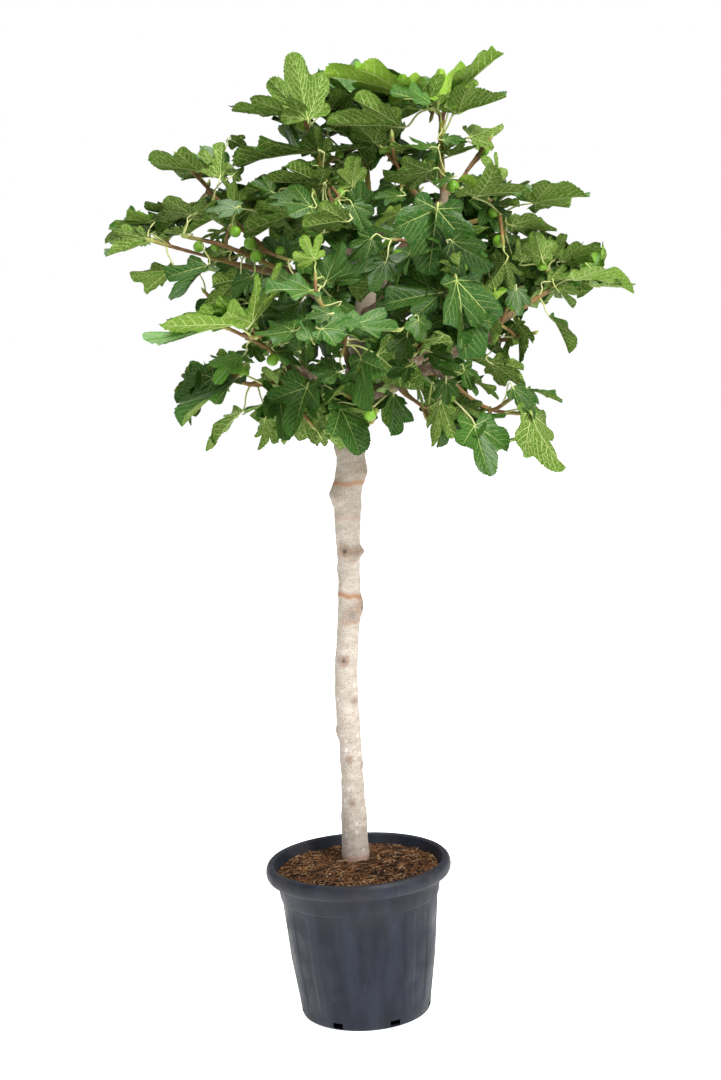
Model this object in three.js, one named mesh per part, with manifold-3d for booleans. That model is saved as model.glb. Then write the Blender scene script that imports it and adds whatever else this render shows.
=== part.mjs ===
// A fig tree grown as a standard: a clear, slightly leaning stem in a round nursery pot, with a low,
// wide head of boughs that each end in a mass of foliage. Millimetres, +Z up. The origin is the middle
// of the pot's flat underside. -Y is the front of the tree.
import * as THREE from "three";
import { mergeVertices } from "three/addons/utils/BufferGeometryUtils.js";
import Module from "manifold-3d";

const wasm = await Module();
wasm.setup();

// ---- driving dimensions -------------------------------------------------------------------------
const GAP = 0.4; // clearance between pieces that touch

const pot = {
  height: 352,
  baseRadius: 146, // outside, at the foot
  neckRadius: 176, // outside, where the ribbed wall ends
  neckHeight: 270,
  collarRadius: 184, // outside, just under the lip
  collarHeight: 310,
  lipRadius: 209, // widest
  lipBottom: 318,
  lipCurl: 5, // how far its lower edge turns in
  mouthRadius: 190, // inside the lip
  lipWall: 4,
  rimRound: 8, // rounding of the lip's top edge
  wall: 5, // at a rib
  floor: 4,
  panels: 14, // shallow recesses round the wall
  panelDepth: 2.2,
  panelFoot: 34, // the recesses run from here up to the neck
  foot: 7, // rounding of the foot
};
const drain = { count: 7, width: 25, height: 17, bottom: 12, firstDeg: -64.7 };
const soil = { top: 338, flatRadius: 92, edgeDrop: 11 };
const SEGMENTS_PER_PANEL = 3; // two edges of a rib, and the bed of the recess beside it
const POT_SEGMENTS = pot.panels * SEGMENTS_PER_PANEL;

// Stem: where its centre line is, and how thick it is, at these heights.
const stemPath = [
  [-6, 45, soil.top + GAP],
  [-3, 42, 480],
  [-3, 38, 620],
  [-5, 34, 709],
  [-1, 30, 800],
  [11, 26, 890],
  [17, 22, 979],
  [19, 18, 1069],
  [23, 14, 1158],
  [34, 10, 1245],
  [50, 6, 1340],
  [62, 2, 1440],
  [76, 0, 1530],
  [97, 0, 1640],
];
const stemRadius = [
  [338, 33],
  [362, 29.5],
  [480, 27],
  [700, 26],
  [900, 25.5],
  [1060, 26.5],
  [1150, 27],
  [1180, 30],
  [1245, 31],
  [1300, 29],
  [1370, 32],
  [1480, 28],
  [1560, 26],
  [1640, 22],
];

// Boughs. from: what carries it. at: the stem's height there, or the share of the carrying bough's
// length. thick: radius at its foot and at its end. via: places it passes on its way to its mass.
// Each ends just inside the mass named after it: centre, half sizes and turn about the vertical.
const boughs = [
  { name: "right", from: "stem", at: 1370, thick: [26, 8],
    via: [[164, -20, 1428], [241, -30, 1458], [350, -50, 1525]],
    mass: { at: [556, -22, 1638], half: [108, 122, 76], turn: 0 } },
  { name: "left_low", from: "stem", at: 1388, thick: [17, 7], via: [[-54, -70, 1436]],
    mass: { at: [-256, -115, 1432], half: [120, 126, 104], turn: 20 } },
  { name: "left", from: "stem", at: 1520, thick: [18, 8], via: [[-40, -30, 1640], [-128, -50, 1700]],
    mass: { at: [-232, -120, 1738], half: [122, 128, 76], turn: -15 } },
  { name: "leader", from: "stem", at: 1610, thick: [19, 9],
    via: [[188, 0, 1722], [272, 0, 1814], [266, 0, 1900]],
    mass: { at: [276, -5, 2042], half: [146, 128, 76], turn: 10 } },
  { name: "left_top", from: "stem", at: 1602, thick: [18, 8], via: [[48, 40, 1730], [14, 50, 1860]],
    mass: { at: [-26, 15, 2038], half: [152, 134, 86], turn: -8 } },
  { name: "front", from: "stem", at: 1452, thick: [16, 8],
    mass: { at: [20, -400, 1572], half: [150, 118, 92], turn: 0 } },
  { name: "front_right", from: "stem", at: 1492, thick: [17, 8],
    mass: { at: [268, -372, 1560], half: [128, 122, 112], turn: 25 } },
  { name: "front_top", from: "stem", at: 1560, thick: [15, 7],
    mass: { at: [210, -285, 1752], half: [140, 128, 92], turn: -20 } },
  { name: "back_right", from: "stem", at: 1430, thick: [19, 8],
    mass: { at: [432, 318, 1610], half: [150, 142, 92], turn: 30 } },
  { name: "back", from: "stem", at: 1500, thick: [17, 8],
    mass: { at: [92, 442, 1622], half: [156, 118, 98], turn: 0 } },
  { name: "back_left", from: "stem", at: 1415, thick: [18, 8],
    mass: { at: [-262, 292, 1612], half: [150, 142, 92], turn: -30 } },
  { name: "back_top", from: "stem", at: 1618, thick: [17, 8], via: [[106, 90, 1760]],
    mass: { at: [112, 222, 1985], half: [160, 132, 88], turn: 12 } },
  { name: "foot_front", from: "stem", at: 1404, thick: [12, 6],
    mass: { at: [66, -272, 1382], half: [112, 100, 84], turn: 0 } },
  { name: "foot_right", from: "right", at: 0.4, thick: [14, 7], via: [[290, -85, 1382]],
    mass: { at: [386, -132, 1312], half: [126, 118, 90], turn: 15 } },
  { name: "right_low", from: "right", at: 0.62, thick: [11, 6],
    mass: { at: [462, -130, 1500], half: [90, 108, 74], turn: -10 } },
  { name: "foot_middle", from: "right", at: 0.22, thick: [11, 6],
    mass: { at: [206, -118, 1346], half: [78, 84, 70], turn: 0 } },
  { name: "foot_left", from: "left_low", at: 0.36, thick: [10, 6],
    mass: { at: [-98, -168, 1376], half: [92, 96, 76], turn: 10 } },
  { name: "front_left", from: "left_low", at: 0.5, thick: [11, 6], via: [[-128, -200, 1520]],
    mass: { at: [-222, -300, 1582], half: [150, 112, 78], turn: 12 } },
  { name: "left_far", from: "left", at: 0.62, thick: [10, 6], via: [[-229, -20, 1705]],
    mass: { at: [-362, 10, 1752], half: [108, 118, 92], turn: 0 } },
  { name: "left_up", from: "left", at: 0.5, thick: [11, 6], via: [[-190, 20, 1790]],
    mass: { at: [-262, 40, 1895], half: [122, 120, 76], turn: 0 } },
  { name: "top_middle", from: "leader", at: 0.52, thick: [10, 6],
    mass: { at: [118, -80, 1944], half: [104, 98, 84], turn: 0 } },
  { name: "right_up", from: "leader", at: 0.62, thick: [10, 6],
    mass: { at: [368, 62, 1912], half: [84, 98, 72], turn: 20 } },
  { name: "right_high", from: "leader", at: 0.36, thick: [12, 6], via: [[330, 10, 1752]],
    mass: { at: [474, 10, 1790], half: [112, 116, 64], turn: -12 } },
  { name: "middle", from: "left_top", at: 0.34, thick: [10, 6],
    mass: { at: [-20, -118, 1805], half: [118, 104, 82], turn: 0 } },
  { name: "back_right_low", from: "back_right", at: 0.42, thick: [12, 6],
    mass: { at: [262, 292, 1390], half: [138, 118, 84], turn: 0 } },
  { name: "back_left_low", from: "back_left", at: 0.38, thick: [12, 6],
    mass: { at: [-82, 300, 1385], half: [138, 118, 84], turn: 0 } },
  { name: "back_high", from: "back_top", at: 0.42, thick: [11, 6],
    mass: { at: [330, 275, 1832], half: [122, 118, 78], turn: 0 } },
  { name: "back_left_high", from: "back_top", at: 0.34, thick: [11, 6],
    mass: { at: [-158, 268, 1838], half: [132, 118, 78], turn: 0 } },
];
// reach: a bough stops this share of the way out from its mass's middle. A bough with no place to pass
// sags by `sag` of its length, most at `sagAt`.
const bough = { sides: 6, stepLength: 95, fewestSteps: 2, sag: 0.1, sagAt: 0.55, reach: 0.78 };
// waves: how many radians each way the swellings of a mass take across it.
const foliage = { detail: 3, unevenness: 0.06, waves: [3.1, 3.7, 2.9] };
const stem = { sides: 12, steps: 18, levelZone: 8 };

const finish = {
  pot: { color: 0x2b303a, roughness: 0.45, metalness: 0 },
  soil: { color: 0x4a2f1d, roughness: 1, metalness: 0 },
  stem: { color: 0xd6c8b6, roughness: 0.85, metalness: 0 },
  bough: { color: 0x7d6a58, roughness: 0.85, metalness: 0 },
  foliage: { color: 0x3f6a2c, roughness: 0.6, metalness: 0 },
};

// ---- solids ---------------------------------------------------------------------------------------

// A closed three.js geometry as a solid that can be cut.
function solidOf(geometry) {
  const bare = geometry.clone();
  bare.deleteAttribute("normal");
  bare.deleteAttribute("uv");
  const merged = mergeVertices(bare, 1e-3);
  return new wasm.Manifold(
    new wasm.Mesh({
      numProp: 3,
      vertProperties: new Float32Array(merged.attributes.position.array),
      triVerts: new Uint32Array(merged.index.array),
    }),
  );
}

// The largest body of a cut solid, as a geometry.
function geometryOf(solid) {
  const bodies = solid.decompose();
  const largest = bodies.reduce((a, b) => (b.volume() > a.volume() ? b : a));
  const cut = largest.getMesh();
  const geometry = new THREE.BufferGeometry();
  geometry.setAttribute("position", new THREE.BufferAttribute(cut.vertProperties, 3));
  geometry.setIndex(new THREE.BufferAttribute(cut.triVerts, 1));
  geometry.computeVertexNormals();
  return geometry;
}

// A value read off a list of [place, value] pairs.
function readOff(pairs, place) {
  let i = 1;
  while (i < pairs.length - 1 && pairs[i][0] < place) i += 1;
  const [[a, from], [b, to]] = [pairs[i - 1], pairs[i]];
  return THREE.MathUtils.lerp(from, to, THREE.MathUtils.clamp((place - a) / (b - a), 0, 1));
}

// A limb: a closed cylinder bent along a curve, with radiusAt(share, height) at each ring.
function limbGeometry(curve, sides, steps, radiusAt, grow = 0) {
  const geometry = new THREE.CylinderGeometry(1, 1, 1, sides, steps);
  const places = curve.getSpacedPoints(steps);
  const frames = curve.computeFrenetFrames(steps, false);
  const position = geometry.attributes.position;
  for (let i = 0; i < position.count; i += 1) {
    const across = new THREE.Vector2(position.getX(i), position.getZ(i));
    const step = Math.round((position.getY(i) + 0.5) * steps);
    const radius = radiusAt(step / steps, places[step].z) + grow;
    const point = places[step]
      .clone()
      .addScaledVector(frames.normals[step], across.x * radius)
      .addScaledVector(frames.binormals[step], -across.y * radius);
    position.setXYZ(i, point.x, point.y, point.z);
  }
  return geometry;
}

function vector(place) {
  return new THREE.Vector3(...place);
}

// ---- pot and soil -----------------------------------------------------------------------------------

// A profile of [radius, height] pairs turned about +Z, with its first column of points on +X.
function turned(profile, segments) {
  const points = profile.map(([radius, height]) => new THREE.Vector2(radius, height));
  const geometry = new THREE.LatheGeometry(points, segments);
  geometry.rotateX(Math.PI / 2);
  geometry.rotateZ(Math.PI / 2);
  return geometry;
}

function potGeometry() {
  const innerFoot = pot.baseRadius - pot.wall;
  const rimFoot = pot.height - pot.rimRound;
  const profile = [
    [0, 0],
    [pot.baseRadius - pot.foot, 0],
    [pot.baseRadius, pot.foot],
    [THREE.MathUtils.lerp(pot.baseRadius, pot.neckRadius, pot.panelFoot / pot.neckHeight), pot.panelFoot],
    [pot.neckRadius, pot.neckHeight],
    [pot.collarRadius, pot.collarHeight],
    [pot.mouthRadius + pot.lipWall, rimFoot], // up inside the hollow lip
    [pot.lipRadius - 3 - pot.lipWall, rimFoot],
    [pot.lipRadius - pot.lipCurl - pot.lipWall, pot.lipBottom],
    [pot.lipRadius - pot.lipCurl, pot.lipBottom],
    [pot.lipRadius, (pot.lipBottom + pot.height) / 2],
    [pot.lipRadius - 3, rimFoot],
    [pot.lipRadius - pot.rimRound, pot.height],
    [pot.mouthRadius + 3, pot.height],
    [pot.mouthRadius, pot.height - 4],
    [pot.collarRadius - pot.wall, pot.collarHeight],
    [pot.neckRadius - pot.wall, pot.neckHeight],
    [innerFoot, pot.floor + 3],
    [innerFoot - 4, pot.floor],
    [0, pot.floor],
  ];
  const geometry = turned(profile, POT_SEGMENTS);
  const position = geometry.attributes.position;
  for (let i = 0; i < position.count; i += 1) {
    const [x, y, z] = [position.getX(i), position.getY(i), position.getZ(i)];
    const radius = Math.hypot(x, y);
    const share = z / pot.neckHeight;
    const outside = Math.abs(radius - THREE.MathUtils.lerp(pot.baseRadius, pot.neckRadius, share)) < 1.5;
    const segment = Math.round((Math.atan2(y, x) / (2 * Math.PI)) * POT_SEGMENTS + POT_SEGMENTS);
    const inBed = segment % SEGMENTS_PER_PANEL === SEGMENTS_PER_PANEL - 1;
    if (outside && inBed && z >= pot.panelFoot - 1 && z <= pot.neckHeight + 1) {
      const scale = 1 - pot.panelDepth / radius;
      position.setXYZ(i, x * scale, y * scale, z);
    }
  }
  let solid = solidOf(geometry);
  for (let i = 0; i < drain.count; i += 1) {
    const hole = new THREE.BoxGeometry(40, drain.width, drain.height);
    hole.translate(pot.baseRadius, 0, drain.bottom + drain.height / 2);
    hole.rotateZ(THREE.MathUtils.degToRad(drain.firstDeg + (i * 360) / drain.count));
    solid = solid.subtract(solidOf(hole));
  }
  return geometryOf(solid);
}

function soilGeometry() {
  const innerRadius = (z) =>
    readOff(
      [
        [pot.floor, pot.baseRadius - pot.wall],
        [pot.neckHeight, pot.neckRadius - pot.wall],
        [pot.collarHeight, pot.collarRadius - pot.wall],
        [pot.height - 4, pot.mouthRadius],
      ],
      z,
    ) - GAP * 1.8;
  const edge = soil.top - soil.edgeDrop;
  const profile = [
    [0, pot.floor + GAP],
    [innerRadius(pot.floor) - 6, pot.floor + GAP],
    [innerRadius(pot.floor + 5), pot.floor + 5],
    [innerRadius(pot.neckHeight), pot.neckHeight],
    [innerRadius(pot.collarHeight), pot.collarHeight],
    [innerRadius(edge), edge],
    [innerRadius(edge) - 22, edge + 3],
    [soil.flatRadius, soil.top],
    [0, soil.top],
  ];
  return geometryOf(solidOf(turned(profile, POT_SEGMENTS / 2)));
}

// ---- stem, boughs and foliage -------------------------------------------------------------------------

const limbs = {}; // name: { curve, radiusAt, sides, steps }

function stemLimb() {
  const curve = new THREE.CatmullRomCurve3(stemPath.map(vector));
  return { curve, sides: stem.sides, steps: stem.steps, radiusAt: (share, z) => readOff(stemRadius, z) };
}

// The ring under the stem's foot lies flat, so that the cut is level.
function levelFoot(geometry) {
  const position = geometry.attributes.position;
  const cut = stemPath[0][2];
  for (let i = 0; i < position.count; i += 1) {
    if (position.getZ(i) < cut + stem.levelZone) position.setZ(i, cut);
  }
  return geometry;
}

// The place on its carrier's centre line where a bough starts.
function startOf(b) {
  const { curve } = limbs[b.from];
  if (b.from !== "stem") return curve.getPointAt(b.at);
  const miss = (point) => Math.abs(point.z - b.at);
  return curve.getSpacedPoints(400).reduce((best, point) => (miss(point) < miss(best) ? point : best));
}

// Where the bough stops: a little way inside its mass, on the side that faces the last place passed.
function endOf(b, last) {
  const centre = vector(b.mass.at);
  const back = last.clone().sub(centre).normalize();
  const [hx, hy, hz] = b.mass.half;
  const radius = 1 / Math.hypot(back.x / hx, back.y / hy, back.z / hz);
  return centre.addScaledVector(back, radius * bough.reach);
}

function boughLimb(b) {
  const start = startOf(b);
  const places = [start, ...(b.via || []).map(vector)];
  const end = endOf(b, places[places.length - 1]);
  if (!b.via) {
    const sag = bough.sag * start.distanceTo(end);
    places.push(start.clone().lerp(end, bough.sagAt).add(new THREE.Vector3(0, 0, -sag)));
  }
  places.push(end);
  const curve = new THREE.CatmullRomCurve3(places);
  const steps = Math.max(bough.fewestSteps, Math.round(curve.getLength() / bough.stepLength));
  const [foot, tip] = b.thick;
  const radiusAt = (share) => THREE.MathUtils.lerp(foot, tip, Math.sqrt(share));
  return { curve, sides: bough.sides, steps, radiusAt };
}

// A lump of leaves: a ball whose radius swells and sinks in long waves of its own.
function massGeometry(mass, number, grow = 0) {
  const geometry = new THREE.OctahedronGeometry(1, foliage.detail);
  const position = geometry.attributes.position;
  const [across, along, up] = foliage.waves;
  for (let i = 0; i < position.count; i += 1) {
    const d = new THREE.Vector3().fromBufferAttribute(position, i).normalize();
    const wave = Math.sin(across * d.x + number) + Math.sin(along * d.y + 2 * number);
    d.multiplyScalar(1 + foliage.unevenness * (wave + Math.sin(up * d.z - number)));
    position.setXYZ(i, d.x, d.y, d.z);
  }
  geometry.scale(...mass.half.map((h) => h + grow));
  geometry.rotateZ(THREE.MathUtils.degToRad(mass.turn));
  geometry.translate(...mass.at);
  return geometry;
}

// ---- the tree -------------------------------------------------------------------------------------------

const tree = new THREE.Group();

function addPiece(name, geometry, look) {
  const mesh = new THREE.Mesh(geometry, new THREE.MeshStandardMaterial(finish[look]));
  mesh.name = name;
  tree.add(mesh);
}

addPiece("pot", potGeometry(), "pot");
addPiece("soil", soilGeometry(), "soil");

limbs.stem = stemLimb();
for (const b of boughs) limbs[b.name] = boughLimb(b);

function limbSolid(name, grow = 0) {
  const { curve, sides, steps, radiusAt } = limbs[name];
  const geometry = limbGeometry(curve, sides, steps, radiusAt, grow);
  return solidOf(name === "stem" ? levelFoot(geometry) : geometry);
}

// Each piece is cut clear of every piece made before it that it would run into.
const taken = [];

function cutClear(solid) {
  return taken.reduce((left, other) => left.subtract(other), solid);
}

for (const name of Object.keys(limbs)) {
  const label = name === "stem" ? "trunk" : `bough_${name}`;
  addPiece(label, geometryOf(cutClear(limbSolid(name))), name === "stem" ? "stem" : "bough");
  taken.push(limbSolid(name, GAP));
}

boughs.forEach((b, number) => {
  const lump = solidOf(massGeometry(b.mass, number));
  addPiece(`foliage_${b.name}`, geometryOf(cutClear(lump)), "foliage");
  taken.push(solidOf(massGeometry(b.mass, number, GAP * 2)));
});

export default tree;
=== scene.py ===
import math

import bpy
import numpy as np
from mathutils import Matrix, Vector, noise


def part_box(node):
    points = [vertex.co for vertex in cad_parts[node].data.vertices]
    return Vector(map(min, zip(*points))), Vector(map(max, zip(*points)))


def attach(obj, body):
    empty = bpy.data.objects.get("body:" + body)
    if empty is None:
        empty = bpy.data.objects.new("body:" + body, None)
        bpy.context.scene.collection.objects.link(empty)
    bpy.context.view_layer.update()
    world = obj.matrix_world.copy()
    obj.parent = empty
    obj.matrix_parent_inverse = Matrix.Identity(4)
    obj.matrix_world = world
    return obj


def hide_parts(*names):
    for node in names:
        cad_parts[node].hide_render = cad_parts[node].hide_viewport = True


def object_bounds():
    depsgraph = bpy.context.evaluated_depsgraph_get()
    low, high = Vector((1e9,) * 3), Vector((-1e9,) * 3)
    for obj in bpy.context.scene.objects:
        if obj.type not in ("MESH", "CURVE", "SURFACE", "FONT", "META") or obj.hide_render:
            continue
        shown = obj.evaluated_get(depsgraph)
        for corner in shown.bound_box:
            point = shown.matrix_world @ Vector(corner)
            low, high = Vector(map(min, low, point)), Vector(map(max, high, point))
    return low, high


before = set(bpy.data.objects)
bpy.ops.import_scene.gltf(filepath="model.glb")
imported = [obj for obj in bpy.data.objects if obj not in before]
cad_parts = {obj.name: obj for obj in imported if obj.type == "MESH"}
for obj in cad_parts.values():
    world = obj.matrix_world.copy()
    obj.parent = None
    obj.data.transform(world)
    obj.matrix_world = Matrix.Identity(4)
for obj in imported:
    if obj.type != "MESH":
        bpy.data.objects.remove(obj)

packedLow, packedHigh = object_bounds()
up = np.array([0.0, 0.0, 1.0])

# What most people would change first.
tree = {
    "seed": 11,
    "leafSize": (0.085, 0.140),  # length of a grown blade, from the smallest to the largest
    "leaves": 500,
    "leavesPerMass": 5.2,  # on its first shoots
    "figs": 52,
}


def unit(v):
    return v / max(np.linalg.norm(v), 1e-9)


def spin(v, axis, angle):  # turns v about axis
    return (v * math.cos(angle) + np.cross(axis, v) * math.sin(angle)
            + axis * np.dot(axis, v) * (1 - math.cos(angle)))


def smoothStep(low, high, x):
    t = np.clip((np.asarray(x, float) - low) / (high - low), 0, 1)
    return t * t * (3 - 2 * t)


def mix(a, b, t):
    return a + (b - a) * t


def lengthOf(line):
    return np.linalg.norm(np.diff(line, axis=0), axis=1).sum()


def runAlong(line):  # how far each point of a line is from its start
    return np.concatenate([[0], np.cumsum(np.linalg.norm(np.diff(line, axis=0), axis=1))])


def pointsAt(want, run, line):  # the points of a line so far along it
    return np.stack([np.interp(want, run, line[:, k]) for k in range(line.shape[1])], -1)


def curveThrough(points, per):  # a smooth line through the points, with so many steps from each to the next
    points = np.asarray(points, float)
    ghost = np.vstack([2 * points[0] - points[1], points, 2 * points[-1] - points[-2]])
    line = []
    for a, b, c, d in zip(ghost, ghost[1:], ghost[2:], ghost[3:]):
        for t in np.linspace(0, 1, per, endpoint=False):
            line.append(0.5 * (2 * b + (c - a) * t + (2 * a - 5 * b + 4 * c - d) * t ** 2
                               + (3 * b - a - 3 * c + d) * t ** 3))
    return np.array(line + [ghost[-2]])


def alongLine(points, count):  # so many even steps along a smooth line through the points
    line = curveThrough(points, 12)
    run = runAlong(line)
    return pointsAt(np.linspace(0, run[-1], count), run, line)


def lineFrames(points):  # the way ahead and two steady sideways directions at each point of a line
    steps = np.gradient(points, axis=0)
    ahead = steps / np.linalg.norm(steps, axis=1)[:, None]
    side = unit(np.cross(ahead[0], up if abs(ahead[0][2]) < 0.9 else np.array([1.0, 0, 0])))
    sides, others = [], []
    for direction in ahead:
        side = unit(side - direction * np.dot(side, direction))
        sides.append(side)
        others.append(np.cross(direction, side))
    return ahead, np.array(sides), np.array(others)


def roundAngles(sides):
    return np.arange(sides) * 2 * math.pi / sides


def ringDirections(line, sides):  # the way ahead along a line, and the way out to each of its sides
    ahead, side, other = lineFrames(line)
    angles = roundAngles(sides)[None, :, None]
    return ahead, side[:, None] * np.cos(angles) + other[:, None] * np.sin(angles)


def ringFaces(rings, sides, start=0):  # triangles from each ring of points to the next
    first = np.arange(sides)
    after = (first + 1) % sides
    faces = []
    for a in range(start, start + (rings - 1) * sides, sides):
        b = a + sides
        faces += [np.stack(corners, 1) for corners in ((a + first, a + after, b + after),
                                                       (a + first, b + after, b + first))]
    return np.concatenate(faces)


def capFaces(start, sides, middle):  # triangles from a ring of points to the one in its middle
    first = np.arange(sides)
    return np.stack([start + first, start + (first + 1) % sides, np.full(sides, middle)], 1)


def tube(line, radii, sides, relief=1.0):  # closed round bar; relief scales the radius at each step and side
    ahead, outward = ringDirections(line, sides)
    body = line[:, None] + outward * (radii[:, None] * relief)[..., None]
    points = np.vstack([body.reshape(-1, 3), line[0] - ahead[0] * radii[0] * 0.2,
                        line[-1] + ahead[-1] * radii[-1] * 0.4])
    low, high = len(points) - 2, len(points) - 1
    return points, np.concatenate([ringFaces(len(line), sides), capFaces(0, sides, low)[:, ::-1],
                                   capFaces((len(line) - 1) * sides, sides, high)])


def waves(points, size, seed, octaves=3):  # smooth noise at each point, about -1 to 1
    shift = Vector((seed * 7.3, seed * 3.1, seed * 5.7))
    return np.array([noise.fractal(Vector(p) / size + shift, 0.6, 2.0, octaves) for p in points])


def makePiece(name, points, triangles, materials, slots=None, attributes=None):
    mesh = bpy.data.meshes.new(name)
    points, triangles = np.asarray(points, np.float32), np.asarray(triangles, np.int32)
    mesh.vertices.add(len(points))
    mesh.vertices.foreach_set("co", points.ravel())
    mesh.loops.add(triangles.size)
    mesh.loops.foreach_set("vertex_index", triangles.ravel())
    mesh.polygons.add(len(triangles))
    mesh.polygons.foreach_set("loop_start", np.arange(0, triangles.size, 3, dtype=np.int32))
    mesh.polygons.foreach_set("use_smooth", np.ones(len(triangles), bool))
    for material in materials:
        mesh.materials.append(material)
    if slots is not None:
        mesh.polygons.foreach_set("material_index", np.asarray(slots, np.int32))
    for key, values in (attributes or {}).items():
        mesh.attributes.new(key, "FLOAT", "POINT").data.foreach_set("value", np.asarray(values, np.float32))
    mesh.update(calc_edges=True)
    piece = bpy.data.objects.new(name, mesh)
    bpy.context.collection.objects.link(piece)
    return piece


def finishPiece(piece, slot, *nodes):
    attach(piece, "root")
    if nodes:
        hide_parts(*nodes)
    print("made", piece.name, len(piece.data.polygons), "faces")
    return piece


def joinParts(parts):  # [(points, triangles, slot numbers)] as one set of arrays
    points, triangles, slots, start = [], [], [], 0
    for p, t, s in parts:
        points.append(p)
        triangles.append(np.asarray(t) + start)
        slots.append(np.broadcast_to(s, len(t)))
        start += len(p)
    return np.concatenate(points), np.concatenate(triangles), np.concatenate(slots)


def finishParts(name, parts, materials, slot, *nodes, attributes=None):  # all the parts as one piece
    points, triangles, slots = joinParts(parts)
    return finishPiece(makePiece(name, points, triangles, materials, slots, attributes), slot, *nodes)


def feed(socket, value):  # a fixed value, or the socket that the value comes from
    if hasattr(value, "is_output"):
        socket.id_data.links.new(value, socket)
    else:
        socket.default_value = value


def addNode(nodes, kind, settings=None, **inputs):
    node = nodes.new(kind)
    for key, value in (settings or {}).items():
        setattr(node, key, value)
    for key, value in inputs.items():
        feed(node.inputs[key.replace("_", " ")], value)
    return node


def doMath(nodes, operation, *values, kind="ShaderNodeMath"):
    node = addNode(nodes, kind, {"operation": operation})
    for socket, value in zip(node.inputs, values):
        feed(socket, value)
    return node.outputs[0]


def times(nodes, a, b):
    return doMath(nodes, "MULTIPLY", a, b)


def mixColours(nodes, factor, a, b):  # values or sockets in, colour out
    node = addNode(nodes, "ShaderNodeMix", {"data_type": "RGBA"})
    for value, place in ((factor, 0), (a, 6), (b, 7)):
        feed(node.inputs[place], value)
    return node.outputs[2]


def makeGroup(name, inputs, outputs):
    group = bpy.data.node_groups.new(name, "ShaderNodeTree")
    for label, kind, value in inputs:
        socket = group.interface.new_socket(label, in_out="INPUT", socket_type="NodeSocket" + kind)
        socket.default_value = value
    for label, kind in outputs:
        group.interface.new_socket(label, in_out="OUTPUT", socket_type="NodeSocket" + kind)
    nodes = group.nodes
    return group, nodes, nodes.new("NodeGroupInput").outputs, nodes.new("NodeGroupOutput").inputs


def stretchedPlace(nodes, stretch):  # object coordinates, pressed together in height
    place = nodes.new("ShaderNodeTexCoord").outputs["Object"]
    squash = addNode(nodes, "ShaderNodeCombineXYZ", X=1.0, Y=1.0, Z=stretch)
    return doMath(nodes, "MULTIPLY", place, squash.outputs[0], kind="ShaderNodeVectorMath")


def buildMottle():  # two colours in soft patches
    group, nodes, given, out = makeGroup(
        "mottle",
        [("Scale", "Float", 20.0), ("Contrast", "Float", 0.5), ("Stretch", "Float", 1.0),
         ("Colour A", "Color", (0, 0, 0, 1)), ("Colour B", "Color", (1, 1, 1, 1))],
        [("Colour", "Color"), ("Mask", "Float")])
    cloud = addNode(nodes, "ShaderNodeTexNoise", Vector=stretchedPlace(nodes, given["Stretch"]),
                    Scale=given["Scale"], Detail=5.0, Roughness=0.6)
    low = doMath(nodes, "MULTIPLY_ADD", given["Contrast"], 0.3, 0.15)
    high = doMath(nodes, "SUBTRACT", 1.0, low)
    spread = addNode(nodes, "ShaderNodeMapRange", Value=cloud.outputs["Fac"], From_Min=low, From_Max=high)
    feed(out["Colour"], mixColours(nodes, spread.outputs[0], given["Colour A"], given["Colour B"]))
    feed(out["Mask"], spread.outputs[0])
    return group


def buildNet():  # a net of fine cells: its lines as a mask, and its cushions as a height
    group, nodes, given, out = makeGroup("cellNet", [("Scale", "Float", 200.0), ("Line", "Float", 0.1)],
                                         [("Lines", "Float"), ("Height", "Float")])
    place = nodes.new("ShaderNodeTexCoord").outputs["Object"]
    cells = addNode(nodes, "ShaderNodeTexVoronoi", {"feature": "DISTANCE_TO_EDGE"}, Vector=place,
                    Scale=given["Scale"])
    edge = cells.outputs["Distance"]
    lines = addNode(nodes, "ShaderNodeMapRange", Value=edge, From_Max=given["Line"], To_Min=1.0, To_Max=0.0)
    feed(out["Lines"], lines.outputs[0])
    feed(out["Height"], edge)
    return group


def buildFlecks():  # scattered small round spots
    group, nodes, given, out = makeGroup(
        "flecks",
        [("Scale", "Float", 150.0), ("Size", "Float", 0.25), ("Share", "Float", 0.4),
         ("Stretch", "Float", 1.0)],
        [("Mask", "Float")])
    cells = addNode(nodes, "ShaderNodeTexVoronoi", {"feature": "F1"}, Scale=given["Scale"], Randomness=1.0,
                    Vector=stretchedPlace(nodes, given["Stretch"]))
    spot = addNode(nodes, "ShaderNodeMapRange", Value=cells.outputs["Distance"], From_Max=given["Size"],
                   To_Min=1.0, To_Max=0.0)
    chosen = addNode(nodes, "ShaderNodeSeparateColor", Color=cells.outputs["Color"])
    keep = doMath(nodes, "LESS_THAN", chosen.outputs[0], given["Share"])
    feed(out["Mask"], times(nodes, spot.outputs[0], keep))
    return group


mottle, cellNet, flecks = buildMottle(), buildNet(), buildFlecks()


def newMaterial(name, roughness, specular):
    material = bpy.data.materials.new(name)
    material.use_nodes = True
    nodes = material.node_tree.nodes
    shader = nodes["Principled BSDF"].inputs
    shader["Roughness"].default_value = roughness
    shader["Specular IOR Level"].default_value = specular
    return material, nodes, shader


def rgba(colour, scale=1.0):
    return (*[c * scale for c in colour], 1.0)


def addGroup(nodes, group, **values):
    return addNode(nodes, "ShaderNodeGroup", {"node_tree": group}, **values).outputs


def addPatches(nodes, colourA, colourB, scale, contrast, stretch=1.0):
    return addGroup(nodes, mottle, Scale=scale, Contrast=contrast, Stretch=stretch, Colour_A=colourA,
                    Colour_B=colourB)


def addFlecks(nodes, colour, ink, strength, scale, size, share, stretch=1.0):  # spots of ink on a colour
    spots = addGroup(nodes, flecks, Scale=scale, Size=size, Share=share, Stretch=stretch)["Mask"]
    return mixColours(nodes, times(nodes, spots, strength), colour, rgba(ink)), spots


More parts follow.
